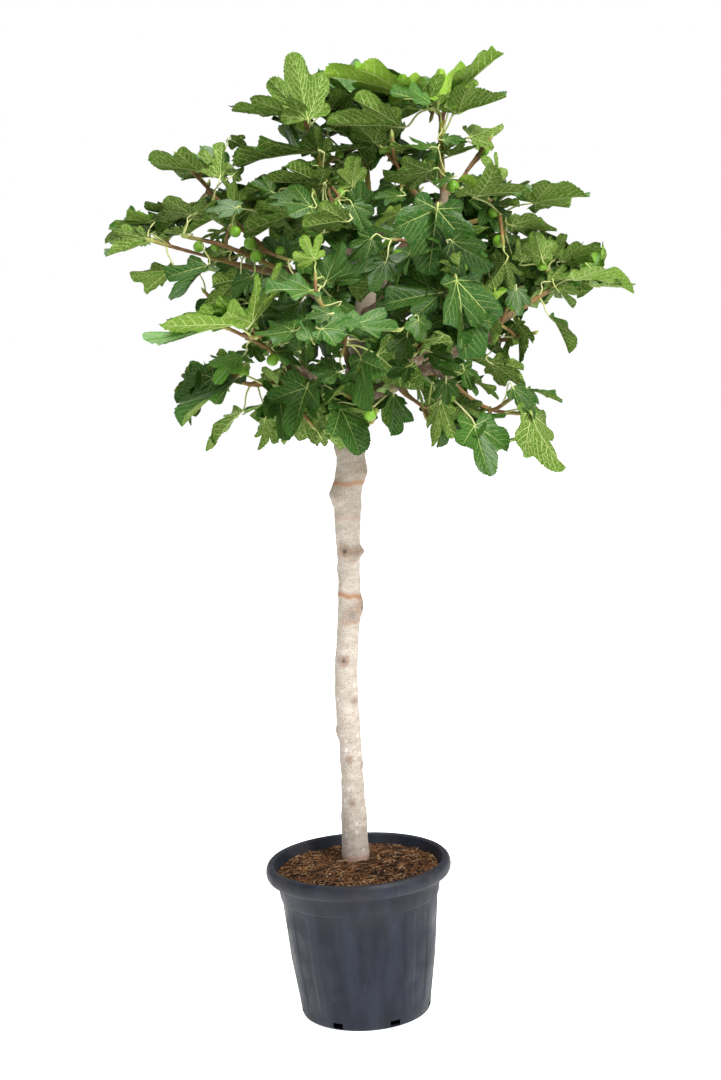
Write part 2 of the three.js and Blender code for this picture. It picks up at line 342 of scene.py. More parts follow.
def addBump(nodes, shader, height, strength, distance, before=None):  # before: the bump below this one
    bump = addNode(nodes, "ShaderNodeBump", Strength=strength, Distance=distance, Height=height)
    if before is not None:
        feed(bump.inputs["Normal"], before)
    feed(shader["Normal"], bump.outputs[0])
    return bump.outputs[0]


def attributeMask(nodes, name):
    return addNode(nodes, "ShaderNodeAttribute", {"attribute_name": name}).outputs["Fac"]


def heightMask(nodes, low, high):  # 0 under low, 1 over high, in metres above the floor
    place = nodes.new("ShaderNodeTexCoord").outputs["Object"]
    z = addNode(nodes, "ShaderNodeSeparateXYZ", Vector=place).outputs["Z"]
    return addNode(nodes, "ShaderNodeMapRange", Value=z, From_Min=low, From_Max=high).outputs[0]


# Deep and mid are a darker and a lighter copy of one green. Besides older and younger leaves, deep is partly
# painted shade for leaves inside the head, and mid partly painted light for those at its top.
leafFinish = {  # upper and under side of each tint, and its veins
    "deep": {"top": (0.020, 0.083, 0.007), "under": (0.072, 0.150, 0.018), "vein": (0.48, 0.58, 0.18)},
    "mid": {"top": (0.034, 0.124, 0.011), "under": (0.100, 0.195, 0.023), "vein": (0.54, 0.64, 0.22)},
    "fresh": {"top": (0.075, 0.220, 0.018), "under": (0.150, 0.280, 0.030), "vein": (0.56, 0.68, 0.22)},
    "young": {"top": (0.150, 0.340, 0.022), "under": (0.240, 0.430, 0.036), "vein": (0.58, 0.72, 0.20)},
    # roughness, specular level, how much the net of fine veins shows and how far it stands out
    "top": (0.42, 0.28, 0.14, 0.35), "under": (0.62, 0.08, 0.46, 0.5),
    "shades": (0.80, 1.22), "netScale": 100.0, "netLine": 0.07,
    # the side that each kind of vein blends with, and its share of the vein colour
    "veins": {"thick": ("top", 0.85), "fine": ("top", 0.42), "under": ("under", 0.90)},
}


def leafMaterials(tint):
    made = []
    for side in ("top", "under"):
        roughness, specular, netShare, netBump = leafFinish[side]
        material, nodes, shader = newMaterial(f"leaf_{tint}_{side}", roughness, specular)
        darker, lighter = [rgba(leafFinish[tint][side], shade) for shade in leafFinish["shades"]]
        patches = addPatches(nodes, darker, lighter, 9.0, 0.4)
        net = addGroup(nodes, cellNet, Scale=leafFinish["netScale"], Line=leafFinish["netLine"])
        faint, vein = times(nodes, net["Lines"], netShare), rgba(leafFinish[tint]["vein"])
        feed(shader["Base Color"], mixColours(nodes, faint, patches["Colour"], vein))
        addBump(nodes, shader, net["Height"], netBump, 0.0016)
        made.append(material)
    return made


def veinMaterials(tint):  # the thick ones on top, the fine ones on top, and all those below
    colours = leafFinish[tint]
    made = []
    for label, (side, share) in leafFinish["veins"].items():
        colour = [mix(a, b, share) for a, b in zip(colours[side], colours["vein"])]
        material, nodes, shader = newMaterial(f"vein_{tint}_{label}", 0.5, 0.35)
        patches = addPatches(nodes, rgba(colour, 0.9), rgba(colour, 1.08), 60.0, 0.3)
        feed(shader["Base Color"], patches["Colour"])
        made.append(material)
    return made


def stalkMaterial(name, colourA, colourB, roughness=0.5, fleckColour=None):
    material, nodes, shader = newMaterial(name, roughness, 0.4)
    patches = addPatches(nodes, rgba(colourA), rgba(colourB), 45.0, 0.6)
    colour = patches["Colour"]
    if fleckColour:
        colour, _ = addFlecks(nodes, colour, fleckColour, 1.0, 260.0, 0.32, 0.35)
    feed(shader["Base Color"], colour)
    addBump(nodes, shader, patches["Mask"], 0.3, 0.0012)
    return material


camera = {  # the focal length and the image in pixels
    "place": (0.047, -4.15, 1.66), "pitchDown": 8.01, "roll": 3.3, "focal": 1900, "image": (721, 1080),
    "sensor": 36, "near": 0.05, "far": 60,
}
pitchDown, cameraRoll = math.radians(camera["pitchDown"]), math.radians(camera["roll"])


def addCamera():
    data = bpy.data.cameras.new("camera")
    data.sensor_width = camera["sensor"]
    data.lens = camera["focal"] / max(camera["image"]) * camera["sensor"]
    data.clip_start, data.clip_end = camera["near"], camera["far"]
    rig = bpy.data.objects.new("camera", data)
    right, above = Vector((1, 0, 0)), Vector((0, math.sin(pitchDown), math.cos(pitchDown)))
    ahead = Vector((0, math.cos(pitchDown), -math.sin(pitchDown)))
    columns = [right * math.cos(cameraRoll) - above * math.sin(cameraRoll),
               right * math.sin(cameraRoll) + above * math.cos(cameraRoll), -ahead]
    turned = Matrix([list(c) for c in columns]).transposed().to_4x4()
    rig.matrix_world = Matrix.Translation(camera["place"]) @ turned
    bpy.context.collection.objects.link(rig)
    bpy.context.scene.camera = rig


studio = {
    "white": 1.0, "ambient": 0.33,
    "lamps": [  # name, place, aim, size, watts, colour
        ("key", (2.2, -2.9, 4.4), (0.05, 0, 1.4), 2.0, 248, (1.0, 0.99, 0.965)),
        ("fill", (-3.4, -3.0, 2.2), (0.05, 0, 1.2), 2.6, 8, (0.98, 0.99, 1.0)),
        ("top", (-0.4, 0.8, 4.8), (0.05, 0, 1.5), 2.8, 125, (0.98, 1.0, 0.98)),
    ],
    "floorColour": (0.90, 0.90, 0.90), "floorGlow": (0.75, 0.95),  # as a lamp, and as seen
    "floorCorners": [(-14, -12, 0), (14, -12, 0), (14, 16, 0), (-14, 16, 0)],
}


def seenOrCast(nodes, cast, seen):  # one level for the light that is cast, one for what the camera sees
    toCamera = nodes.new("ShaderNodeLightPath").outputs["Is Camera Ray"]
    return addNode(nodes, "ShaderNodeMapRange", Value=toCamera, To_Min=cast, To_Max=seen).outputs[0]


def addStudio():
    scene = bpy.context.scene
    scene.view_settings.view_transform = "Standard"
    scene.world = bpy.data.worlds.new("studio")
    scene.world.use_nodes = True
    nodes = scene.world.node_tree.nodes
    sky = nodes["Background"].inputs
    feed(sky["Strength"], seenOrCast(nodes, studio["ambient"], studio["white"]))
    sky["Color"].default_value = (1, 1, 1, 1)
    for name, place, aim, size, watts, colour in studio["lamps"]:
        data = bpy.data.lights.new(name, "AREA")
        data.shape, data.size, data.energy, data.color = "DISK", size, watts, colour
        lamp = bpy.data.objects.new(name, data)
        lamp.location = place
        lamp.rotation_euler = (Vector(aim) - Vector(place)).to_track_quat("-Z", "Y").to_euler()
        bpy.context.collection.objects.link(lamp)
    material, nodes, shader = newMaterial("studioFloor", 0.9, 0.1)
    shader["Base Color"].default_value = rgba(studio["floorColour"])
    shader["Emission Color"].default_value = (1, 1, 1, 1)
    feed(shader["Emission Strength"], seenOrCast(nodes, *studio["floorGlow"]))
    floor = makePiece("floor", studio["floorCorners"], [[0, 1, 2], [0, 2, 3]], [material])


addCamera()
addStudio()
print("camera and studio set")


def nodePoints(name):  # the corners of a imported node, each once, and its edges
    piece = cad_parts[name]
    mesh = piece.data
    points = np.empty(len(mesh.vertices) * 3, np.float32)
    mesh.vertices.foreach_get("co", points)
    edges = np.empty(len(mesh.edges) * 2, np.int32)
    mesh.edges.foreach_get("vertices", edges)
    place = np.array(piece.matrix_world)
    points = points.reshape(-1, 3) @ place[:3, :3].T + place[:3, 3]
    _, first, same = np.unique(np.round(points, 5), axis=0, return_index=True, return_inverse=True)
    return points[first], same.ravel()[edges.reshape(-1, 2)]


def boxMiddle(name):  # the middle and the half size of a node's box
    low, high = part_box(name)
    return (np.array(low) + np.array(high)) / 2, (np.array(high) - np.array(low)) / 2


walk = {"step": 0.012, "reach": 0.07, "fewest": 5, "narrowing": 0.6, "steps": 400}


def limbLine(name, tipSide, sides):  # middle line and thickness of a limb, from its end nearest to tipSide
    points, edges = nodePoints(name)
    order = np.argsort(np.linalg.norm(points - tipSide, axis=1))
    here = points[order[:sides]].mean(0)
    heading = unit(points[order[sides + 1:sides * 2 + 1]].mean(0) - here)
    line, radii = [], []
    for _ in range(walk["steps"]):
        ahead = here + heading * walk["step"]
        side = (points - ahead) @ heading
        a, b = side[edges[:, 0]], side[edges[:, 1]]
        crossing = (a > 0) != (b > 0)
        start, end = points[edges[crossing, 0]], points[edges[crossing, 1]]
        cut = start + (end - start) * (a[crossing] / (a[crossing] - b[crossing]))[:, None]
        cut = cut[np.linalg.norm(cut - ahead, axis=1) < walk["reach"]]
        if len(cut) < walk["fewest"]:
            break
        middle = cut.mean(0)
        radius = np.linalg.norm(cut - middle, axis=1).mean()
        if radii and radius < walk["narrowing"] * radii[-1]:
            break
        heading = unit(heading * 0.5 + unit(middle - here) * 0.5)
        line.append(middle)
        radii.append(radius)
        here = middle
    return np.array(line), np.array(radii)


massNames = sorted(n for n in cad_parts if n.startswith("foliage_"))
boughNames = ["bough_" + n[len("foliage_"):] for n in massNames]
limbs = {"trunk": limbLine("trunk", -up, 12)}
for boughName, massName in zip(boughNames, massNames):
    boughLine, boughRadii = limbLine(boughName, boxMiddle(massName)[0], 6)
    limbs[boughName] = (boughLine[::-1], boughRadii[::-1])  # foot first
print("limbs read:", {n: len(v[0]) for n, v in limbs.items()})


def carrierOf(name):  # the limb that this one grows from, and the place on it
    foot = limbs[name][0][0]
    best = None
    for other, (line, radii) in limbs.items():
        if other == name:
            continue
        gaps = np.linalg.norm(line - foot, axis=1) - radii
        k = int(np.argmin(gaps))
        if other == "trunk" or radii[k] > limbs[name][1][0] * 0.8:
            if best is None or gaps[k] < best[0]:
                best = (gaps[k], other, k)
    return best[1:]


barkLook = {
    "pale": (0.52, 0.45, 0.38), "cream": (0.67, 0.60, 0.53), "speck": (0.12, 0.075, 0.05),
    "knot": (0.10, 0.055, 0.035), "scar": (0.44, 0.22, 0.11), "foot": (0.42, 0.24, 0.17),
    # crownShade is painted shade: the colour of the stem where the head shades it
    "crownShade": (0.27, 0.22, 0.155), "white": (0.92, 0.90, 0.86),
    "boughPale": (0.30, 0.235, 0.165), "boughDark": (0.13, 0.085, 0.055), "boughYoung": (0.24, 0.150, 0.055),
    "boughGreen": (0.27, 0.26, 0.045),
    # between which heights the stem darkens with painted shade from the head, white flecks set in, and the
    # foot turns brown
    "crownShadeFrom": (1.10, 1.42), "whiteFrom": (0.92, 0.66), "footFrom": (0.358, 0.345),
}
trunkShape = {
    "sides": 72, "step": 0.0045, "rootSink": 0.012,
    "swell": (0.11, 0.0022), "unevenness": (0.028, 0.0010), "wrinkle": (0.05, 0.0007),  # size and depth
    "knotRim": 0.0012, "eyeSize": 0.58, "scarTall": 0.0055, "scarRise": 0.0016, "rootFlare": 0.0004,
    # height, angle from above (0 is +X, -90 the front), reach along the stem and round it, rise, dark eye
    "knots": [
        (1.232, -20, 0.026, 0.030, 0.011, 0.0), (1.176, 195, 0.022, 0.024, 0.012, 0.0),
        (1.283, 190, 0.020, 0.022, 0.010, 0.0), (1.055, -106, 0.014, 0.014, 0.006, 1.0),
        (1.048, -60, 0.018, 0.020, 0.009, 0.25), (1.050, -8, 0.010, 0.010, 0.011, 0.3),
        (0.926, -22, 0.017, 0.019, 0.012, 0.8), (0.909, -75, 0.018, 0.020, 0.003, 0.25),
        (0.806, -104, 0.012, 0.012, 0.005, 1.0), (0.713, -48, 0.009, 0.009, 0.003, 0.4),
        (0.577, -98, 0.009, 0.008, 0.003, 0.7), (0.478, -95, 0.008, 0.008, 0.003, 0.7),
        (0.560, -20, 0.008, 0.008, 0.003, 0.5), (0.640, 185, 0.014, 0.014, 0.005, 0.0),
        (1.150, 60, 0.020, 0.020, 0.009, 0.2), (0.860, 110, 0.014, 0.014, 0.006, 0.7),
        (1.010, 150, 0.012, 0.012, 0.006, 0.4), (0.700, 80, 0.012, 0.012, 0.005, 0.6),
        (1.330, -70, 0.022, 0.024, 0.008, 0.0), (1.385, -130, 0.018, 0.020, 0.008, 0.6),
    ],
    # height, tilt, how far round the ring runs about its middle angle, strength
    "scars": [(1.206, 0.004, -80, 130, 0.9), (0.952, -0.003, -80, 120, 1.0), (1.128, 0.002, -100, 90, 0.35),
              (1.050, 0.004, -80, 100, 0.45), (0.894, 0.003, -70, 90, 0.45)],
}


def turnFrom(around, angle):  # degrees from an angle, the short way
    return (around - angle + 180) % 360 - 180


def makeTrunk():
    shape = trunkShape
    line, radii = limbs["trunk"]
    foot = line[0] + unit(line[0] - line[3]) * (line[0][2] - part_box("trunk")[0][2])
    points = np.vstack([foot - up * shape["rootSink"], foot, line])
    radii = np.concatenate([[radii[0], radii[0]], radii])
    count = int(lengthOf(points) / shape["step"])
    share = runAlong(points) / lengthOf(points)
    smooth = alongLine(points[::3], count)
    radii = np.interp(np.linspace(0, 1, count), share, radii)
    radii = np.convolve(np.pad(radii, 9, mode="edge"), np.ones(19) / 19, "valid")
    _, outward = ringDirections(smooth, shape["sides"])
    around = np.degrees(np.arctan2(outward[..., 1], outward[..., 0]))
    height = np.broadcast_to(smooth[:, 2:3], around.shape)
    surface = (smooth[:, None] + outward * radii[:, None, None]).reshape(-1, 3)
    lift = np.zeros(around.shape)
    for seed, key in ((1, "swell"), (2, "unevenness")):
        size, depth = shape[key]
        lift = lift + waves(surface, size, seed).reshape(around.shape) * depth
    size, depth = shape["wrinkle"]
    lift = lift - np.abs(waves(surface * [1, 1, 5], size, 3).reshape(around.shape)) * depth
    knotMask, scarMask = np.zeros(around.shape), np.zeros(around.shape)
    for z, angle, tall, wide, rise, eye in shape["knots"]:
        across = np.radians(turnFrom(around, angle)) * radii[:, None]
        off = np.sqrt(((height - z) / tall) ** 2 + (across / wide) ** 2)
        bulge = np.exp(-off ** 2 * 1.3)
        dimple = np.exp(-(off / shape["eyeSize"]) ** 2) * eye
        rim = shape["knotRim"] * np.exp(-((off - 1.0) / 0.18) ** 2)
        lift = lift + rise * (bulge - 0.75 * dimple) + rim
        knotMask = np.maximum(knotMask, np.maximum(dimple, 0.50 * bulge * (1 if eye else 0.3)))
        scarMask = np.maximum(scarMask, 0.55 * np.exp(-((off - 0.8) / 0.22) ** 2) * min(1, eye + 0.35))
    for z, tilt, middle, span, strength in shape["scars"]:
        turn = turnFrom(around, middle)
        level = z + tilt * np.sin(np.radians(turn)) + 0.0016 * np.sin(np.radians(turn) * 5)
        band = np.exp(-((height - level) / shape["scarTall"]) ** 2)
        band = band * smoothStep(span, span * 0.6, np.abs(turn)) * strength
        lift = lift + band * shape["scarRise"]
        scarMask = np.maximum(scarMask, band)
    flare = np.exp(-np.clip(height - foot[2], 0, None) / 0.03) * shape["rootFlare"]
    lift = lift + flare * (1 + 2 * np.sin(np.radians(around) * 5 + 1))
    points, faces = tube(smooth, radii, shape["sides"], 1 + lift / radii[:, None])
    ends = [0.0, 0.0]
    piece = makePiece("trunkBark", points, faces, [trunkMaterial()], attributes={
        "knot": np.concatenate([knotMask.ravel(), ends]), "scar": np.concatenate([scarMask.ravel(), ends])})
    finishPiece(piece, "bark", "trunk")


def trunkMaterial():
    look = barkLook
    material, nodes, shader = newMaterial("paleBark", 0.82, 0.25)
    patches = addPatches(nodes, rgba(look["pale"]), rgba(look["cream"]), 34.0, 0.7, 1.8)
    # painted shade: the stem darkens towards the head, as if in its shade
    darker = times(nodes, heightMask(nodes, *look["crownShadeFrom"]), 0.85)
    colour = mixColours(nodes, darker, patches["Colour"], rgba(look["crownShade"]))
    colour, specks = addFlecks(nodes, colour, look["speck"], 0.95, 225.0, 0.42, 0.72, 1.2)
    colour, _ = addFlecks(nodes, colour, look["scar"], 0.6, 95.0, 0.20, 0.30, 1.2)
    low = times(nodes, heightMask(nodes, *look["whiteFrom"]), 0.9)
    colour, _ = addFlecks(nodes, colour, look["white"], low, 75.0, 0.42, 0.26, 0.8)
    foot = times(nodes, heightMask(nodes, *look["footFrom"]), 0.8)
    for mask, ink in ((attributeMask(nodes, "scar"), "scar"), (attributeMask(nodes, "knot"), "knot"),
                      (foot, "foot")):
        colour = mixColours(nodes, mask, colour, rgba(look[ink]))
    feed(shader["Base Color"], colour)
    first = addBump(nodes, shader, patches["Mask"], 0.35, 0.0014)
    addBump(nodes, shader, specks, -0.35, 0.0008, first)
    return material


def boughMaterial():
    look = barkLook
    material, nodes, shader = newMaterial("boughBark", 0.8, 0.25)
    patches = addPatches(nodes, rgba(look["boughDark"]), rgba(look["boughPale"]), 55.0, 0.8)
    colour = patches["Colour"]
    for mask, ink in (("young", "boughYoung"), ("green", "boughGreen")):
        colour = mixColours(nodes, attributeMask(nodes, mask), colour, rgba(look[ink]))
    colour, specks = addFlecks(nodes, colour, look["cream"], 0.5, 240.0, 0.3, 0.4)
    feed(shader["Base Color"], colour)
    first = addBump(nodes, shader, patches["Mask"], 0.5, 0.002)
    addBump(nodes, shader, specks, 0.3, 0.0008, first)
    return material


boughShape = {
    "sides": 14, "step": 0.007, "ringEvery": 0.034, "ringRise": 0.10, "collar": 0.35, "endShare": 0.62,
    "youngFrom": (0.0105, 0.0060), "ringFrom": (0.016, 0.009),  # thickest and thinnest radius
    "greenFrom": (1.55, 1.85),  # height
}


def makeBoughs():
    shape, sides = boughShape, boughShape["sides"]
    angle = roundAngles(sides)
    circle = np.stack([np.cos(angle), np.sin(angle), 0 * angle], 1)
    parts, youth, greens = [], [], []
    for k, name in enumerate(boughNames):
        line, radii = limbs[name]
        carrier, at = carrierOf(name)
        points = np.vstack([limbs[carrier][0][at], line])
        radii = np.concatenate([[radii[0] * 1.1], radii])
        length = lengthOf(points)
        count = max(8, int(length / shape["step"]))
        smooth = alongLine(points[::2] if len(points) > 6 else points, count)
        run, even = np.linspace(0, length, count), np.linspace(0, 1, count)
        radius = np.interp(even, runAlong(points) / length, radii)
        radius = radius * mix(1, shape["endShare"], even ** 1.5)
        collar = shape["collar"] * np.exp(-np.clip(run - limbs[carrier][1][at], 0, None) / 0.02)
        rings = shape["ringRise"] * np.exp(-((run / shape["ringEvery"] + k * 0.37) % 1 - 0.5) ** 2 / 0.01)
        radius = radius * (1 + collar + rings * smoothStep(*shape["ringFrom"], radius))
        surface = smooth[:, None] + circle[None] * radius[:, None, None]
        relief = 1 + 0.10 * waves(surface.reshape(-1, 3), 0.03, 20 + k).reshape(count, sides)
        parts.append((*tube(smooth, radius, sides, relief), 0))
        young = smoothStep(*shape["youngFrom"], radius)
        green = young * smoothStep(0.55, 0.95, run / length) * smoothStep(*shape["greenFrom"], smooth[:, 2])
        for masks, mask in ((youth, young), (greens, green)):
            masks.append(np.concatenate([np.repeat(mask, sides), mask[[0, -1]]]))
    finishParts("boughBark", parts, [boughMaterial()], "bough", *boughNames,
                attributes={"young": np.concatenate(youth), "green": np.concatenate(greens)})


makeTrunk()
makeBoughs()

# Each lobe of one half: angle from the middle, length, half width, and how far out it is widest.
# The bays are how far from the stalk the margin comes in between the lobes.
bladeKinds = [
    {"lobes": [(0, 1.00, 0.25, 0.69), (50, 0.82, 0.20, 0.68), (102, 0.50, 0.17, 0.62)],
     "bays": (0.50, 0.39), "notch": 0.08},
    {"lobes": [(0, 1.00, 0.23, 0.71), (48, 0.87, 0.19, 0.70), (96, 0.60, 0.16, 0.68)],
     "bays": (0.42, 0.35), "notch": 0.10},
    {"lobes": [(0, 1.00, 0.29, 0.64), (51, 0.80, 0.24, 0.64), (104, 0.44, 0.17, 0.58)],
     "bays": (0.58, 0.43), "notch": 0.07},
    {"lobes": [(0, 1.00, 0.33, 0.61), (53, 0.76, 0.25, 0.62), (106, 0.40, 0.17, 0.56)],
     "bays": (0.67, 0.45), "notch": 0.05},
    {"lobes": [(0, 1.00, 0.22, 0.73), (45, 0.90, 0.18, 0.72), (90, 0.66, 0.155, 0.70)],
     "bays": (0.40, 0.33), "notch": 0.11},
    {"lobes": [(0, 1.00, 0.27, 0.67), (52, 0.84, 0.22, 0.66), (104, 0.50, 0.18, 0.60)],
     "bays": (0.54, 0.42), "notch": 0.09},
]
blade = {  # lengths are shares of the blade's length, but for the thickness
    "copies": 3,  # uneven copies of each kind
    "curveSteps": 14, "perSpan": 36, "rings": (1.0, 0.80, 0.52, 0.24), "counts": (1, 2, 4, 8),
    "toothRise": (0.34, -0.34), "toothSizes": (0.2, 0.6, 1.0, 1.5), "thickness": 0.0007,
    "mainWidth": 0.0100, "sideWidth": 0.0052, "sideEvery": 0.125, "sideAngle": 50,
    "veinEnd": 0.965, "sideStep": 0.012, "sideSteps": 60, "veinRise": (0.25, 0.8), "veinBase": 0.00035,
    "veinRows": {1: (9, 4, 1.0), 3: (6, 3, 1.4)},  # by rim step: rows of main and side veins, wider spacing
}


def lobeSides(angle):  # along a lobe, and to its right
    turn = math.radians(angle)
    return np.array([math.sin(turn), math.cos(turn)]), np.array([math.cos(turn), -math.sin(turn)])


def onLobe(angle, along, across):  # a point so far along a lobe and so far to its right
    ahead, right = lobeSides(angle)
    return tuple(ahead * along + right * across)


def bladeOutline(kind, rng):
    lobes = []
    for sideSign in (1, -1):
        for n, (angle, length, half, widest) in enumerate(kind["lobes"]):
            if n or sideSign > 0:
                lobes.append((sideSign * angle + rng.normal(0, 2.5),
                              length * rng.normal(1, 0.05 if n else 0.0),
                              half * rng.normal(1, 0.07), widest))
    lobes.sort(key=lambda lobe: -lobe[0])
    depths = [kind["bays"][k] * rng.normal(1, 0.05) for k in (1, 0, 0, 1)]
    notch = kind["notch"]
    foot = [(0.0, -0.025), (0.05, -0.03 - notch * 0.6), (0.13, -0.05 - notch)]
    points, tips = list(foot), []
    for n, (angle, length, half, widest) in enumerate(lobes):
        for sign in (1, -1):
            beside = n - 1 if sign > 0 else n
            shoulders = [(widest * length, half), (0.92 * length, 0.66 * half)]
            if 0 <= beside < 4:
                opening = math.radians(abs(lobes[beside][0] - lobes[beside + 1][0]) / 2)
                if shoulders[0][0] < depths[beside] * math.cos(opening) + 0.03:
                    shoulders = shoulders[1:]
            points += [onLobe(angle, a, sign * c * rng.normal(1, 0.04)) for a, c in shoulders[::sign]]
            if sign > 0:
                tips.append(len(points))
                points.append(onLobe(angle, length, 0))
        if n < 4:
            points.append(onLobe((angle + lobes[n + 1][0]) / 2, depths[n], 0))
    points += [(-x, y) for x, y in foot[::-1]]
    curve = curveThrough(points, blade["curveSteps"])
    stops = [0] + [t * blade["curveSteps"] for t in tips] + [len(curve) - 1]
    out = []
    for k in range(len(stops) - 1):
        span = curve[stops[k]:stops[k + 1] + 1]
        run = runAlong(span)
        even = pointsAt(np.linspace(0, run[-1], blade["perSpan"], endpoint=False), run, span)
        ahead = np.gradient(even, axis=0)
        outward = np.stack([-ahead[:, 1], ahead[:, 0]], 1) / np.linalg.norm(ahead, axis=1)[:, None]
        teeth = blade["perSpan"] // 2
        beat = np.tile(blade["toothRise"], teeth) * np.repeat(rng.choice(blade["toothSizes"], teeth), 2)
        if k == 0:
            beat[:6] = 0
        if k == len(stops) - 2:
            beat[-6:] = 0
        bay = smoothStep(0.45, 0.75, np.linalg.norm(even, axis=1) / max(0.6, np.linalg.norm(span[0])))
        out.append(even + outward * (beat * mix(0.35, 1, bay) * run[-1] / blade["perSpan"])[:, None])
    return np.concatenate(out), lobes


def stitch(outer, inner, outerStart, innerStart):  # triangles from a closed ring to one with fewer points
    ratio = outer // inner
    half = ratio // 2 if ratio > 1 else 1
    faces = []
    for i in range(inner):
        j = (i + 1) % inner
        row = [outerStart + (i * ratio + k) % outer for k in range(ratio + 1)]
        for k in range(ratio):
            faces.append((row[k], row[k + 1], innerStart + (i if k < half else j)))
        faces.append((row[half], innerStart + j, innerStart + i))
    return faces


def buildBlade(kind, rng, step):
    outline, lobes = bladeOutline(kind, rng)
    flat, shares, starts, counts = [], [], [], []
    for share, every in zip(blade["rings"], blade["counts"]):
        starts.append(sum(counts))
        flat.append(outline[::every * step] * share)
        counts.append(len(flat[-1]))
        shares.append(np.full(counts[-1], share))
    points, shares = np.concatenate(flat + [np.zeros((1, 2))]), np.concatenate(shares + [[0.0]])
    faces = []
    for k in range(len(counts) - 1):
        faces += stitch(counts[k], counts[k + 1], starts[k], starts[k + 1])
    faces = np.concatenate([faces, capFaces(starts[-1], counts[-1], len(points) - 1)])
    a, b, c = points[faces[:, 0]], points[faces[:, 1]], points[faces[:, 2]]
    flip = ((b[:, 0] - a[:, 0]) * (c[:, 1] - a[:, 1]) - (b[:, 1] - a[:, 1]) * (c[:, 0] - a[:, 0])) < 0
    faces[flip] = faces[flip][:, ::-1]
    made = {"points": points, "shares": shares, "faces": faces, "lobes": lobes, "rim": counts[0],
            "radius": np.hypot(points[:, 0], points[:, 1]), "outline": outline,
            "angle": np.degrees(np.arctan2(points[:, 0], points[:, 1])), "fold": foldHeight(points, lobes)}
    addVeins(made, step)
    return made


def foldHeight(points, lobes):  # how far each point lies from the nearest main vein
    gaps = []
    for angle, length, _, _ in lobes:
        along, _ = lobeSides(angle)
        run = np.clip(points @ along, 0, length)
        gaps.append(np.linalg.norm(points - run[:, None] * along, axis=1))
    return np.min(gaps, axis=0)


def outlineReach(made, angle):  # how far out the margin is in a direction
    ring = made["outline"]
    own = np.degrees(np.arctan2(ring[:, 0], ring[:, 1]))
    order = np.argsort(own)
    return np.interp(angle, own[order], np.hypot(ring[:, 0], ring[:, 1])[order])


def sideVein(made, start, heading, bend, fromAngle, toAngle):  # on until the margin or the next lobe
    here, path = start, [start]
    for _ in range(blade["sideSteps"]):
        heading -= bend
        here = here + np.array([math.sin(heading), math.cos(heading)]) * blade["sideStep"]
        bearing = math.degrees(math.atan2(here[0], here[1]))
        if np.hypot(*here) > blade["veinEnd"] * outlineReach(made, bearing):
            break
        if not (fromAngle - 1 < bearing < toAngle + 1) and np.hypot(*here) > 0.1:
            break
        path.append(here)
    return np.array(path)


def addVeins(made, step):  # flat strips: rows of (left, right) points, each tied to the triangle under it
    lobes = made["lobes"]
    rows, sideRows, spacing = blade["veinRows"][step]
    edges = [(one[0] + other[0]) / 2 for one, other in zip(lobes, lobes[1:])]
    edges = [lobes[0][0] + 60] + edges + [lobes[-1][0] - 60]
    strips = []
    for k, (angle, length, _, _) in enumerate(lobes):
        along, _ = lobeSides(angle)
        run = np.linspace(0.0, blade["veinEnd"] * length, rows)
        width = blade["mainWidth"] * (0.6 + 0.4 * length) * (1 - 0.82 * run / length)
        strips.append((run[:, None] * along, width, 2))
        for start in np.arange(0.16 * length, 0.90 * length, blade["sideEvery"] * spacing):
            for sign in (1, -1):
                lean = math.radians(blade["sideAngle"] - 8 * start / length)
                path = sideVein(made, along * (start + (0.02 if sign > 0 else 0)),
                                math.radians(angle) + sign * lean, sign * 0.012, edges[k + 1], edges[k])
                if len(path) > 4:
                    path = path[np.linspace(0, len(path) - 1, sideRows).round().astype(int)]
                    strips.append((path, blade["sideWidth"] * (1 - 0.7 * np.linspace(0, 1, sideRows)), 1))
    flat, faces, ridge, level = [], [], [], []
    for path, width, rank in strips:  # a main vein has three points a row, the middle one high; others two
        ahead = np.gradient(path, axis=0)
        across = np.stack([ahead[:, 1], -ahead[:, 0]], 1)
        across = across / np.maximum(np.linalg.norm(ahead, axis=1), 1e-9)[:, None]
        start = sum(len(f) for f in flat)
        offsets = (-1, 0, 1) if rank == 2 else (-1, 1)
        wide = len(offsets)
        flat.append(np.stack([path + across * (width * k)[:, None] for k in offsets], 1).reshape(-1, 2))
        ridge.append(np.tile([1.0 - abs(k) for k in offsets], len(path)) * np.repeat(width, wide))
        level.append(np.full(len(path) * wide, float(rank)))
        for i in range(len(path) - 1):
            for j in range(wide - 1):
                p, q = start + i * wide + j, start + (i + 1) * wide + j
                faces += [(p, p + 1, q + 1), (p, q + 1, q)]
    made["veinFaces"] = np.array(faces)[:, ::-1]
    made["veinRidge"] = np.concatenate(ridge)
    made["veinRank"] = np.concatenate(level)
    made["veinTie"], made["veinWeights"] = tieTo(made["points"], made["faces"], np.concatenate(flat))


def tieTo(points, faces, flat):  # the triangle that holds each flat point, and its weights there
    a, b, c = points[faces[:, 0]], points[faces[:, 1]], points[faces[:, 2]]
    v0, v1 = b - a, c - a
    area = v0[:, 0] * v1[:, 1] - v0[:, 1] * v1[:, 0]
    area = np.where(np.abs(area) < 1e-12, 1e-12, area)
    tie, weights = [], []
    for p in flat:
        v2 = p - a
        u = (v2[:, 0] * v1[:, 1] - v2[:, 1] * v1[:, 0]) / area
        v = (v0[:, 0] * v2[:, 1] - v0[:, 1] * v2[:, 0]) / area
        k = int(np.argmax(np.minimum(np.minimum(u, v), 1 - u - v)))
        w = np.clip([1 - u[k] - v[k], u[k], v[k]], 0, 1)
        tie.append(faces[k])
        weights.append(w / w.sum())
    return np.array(tie), np.array(weights)


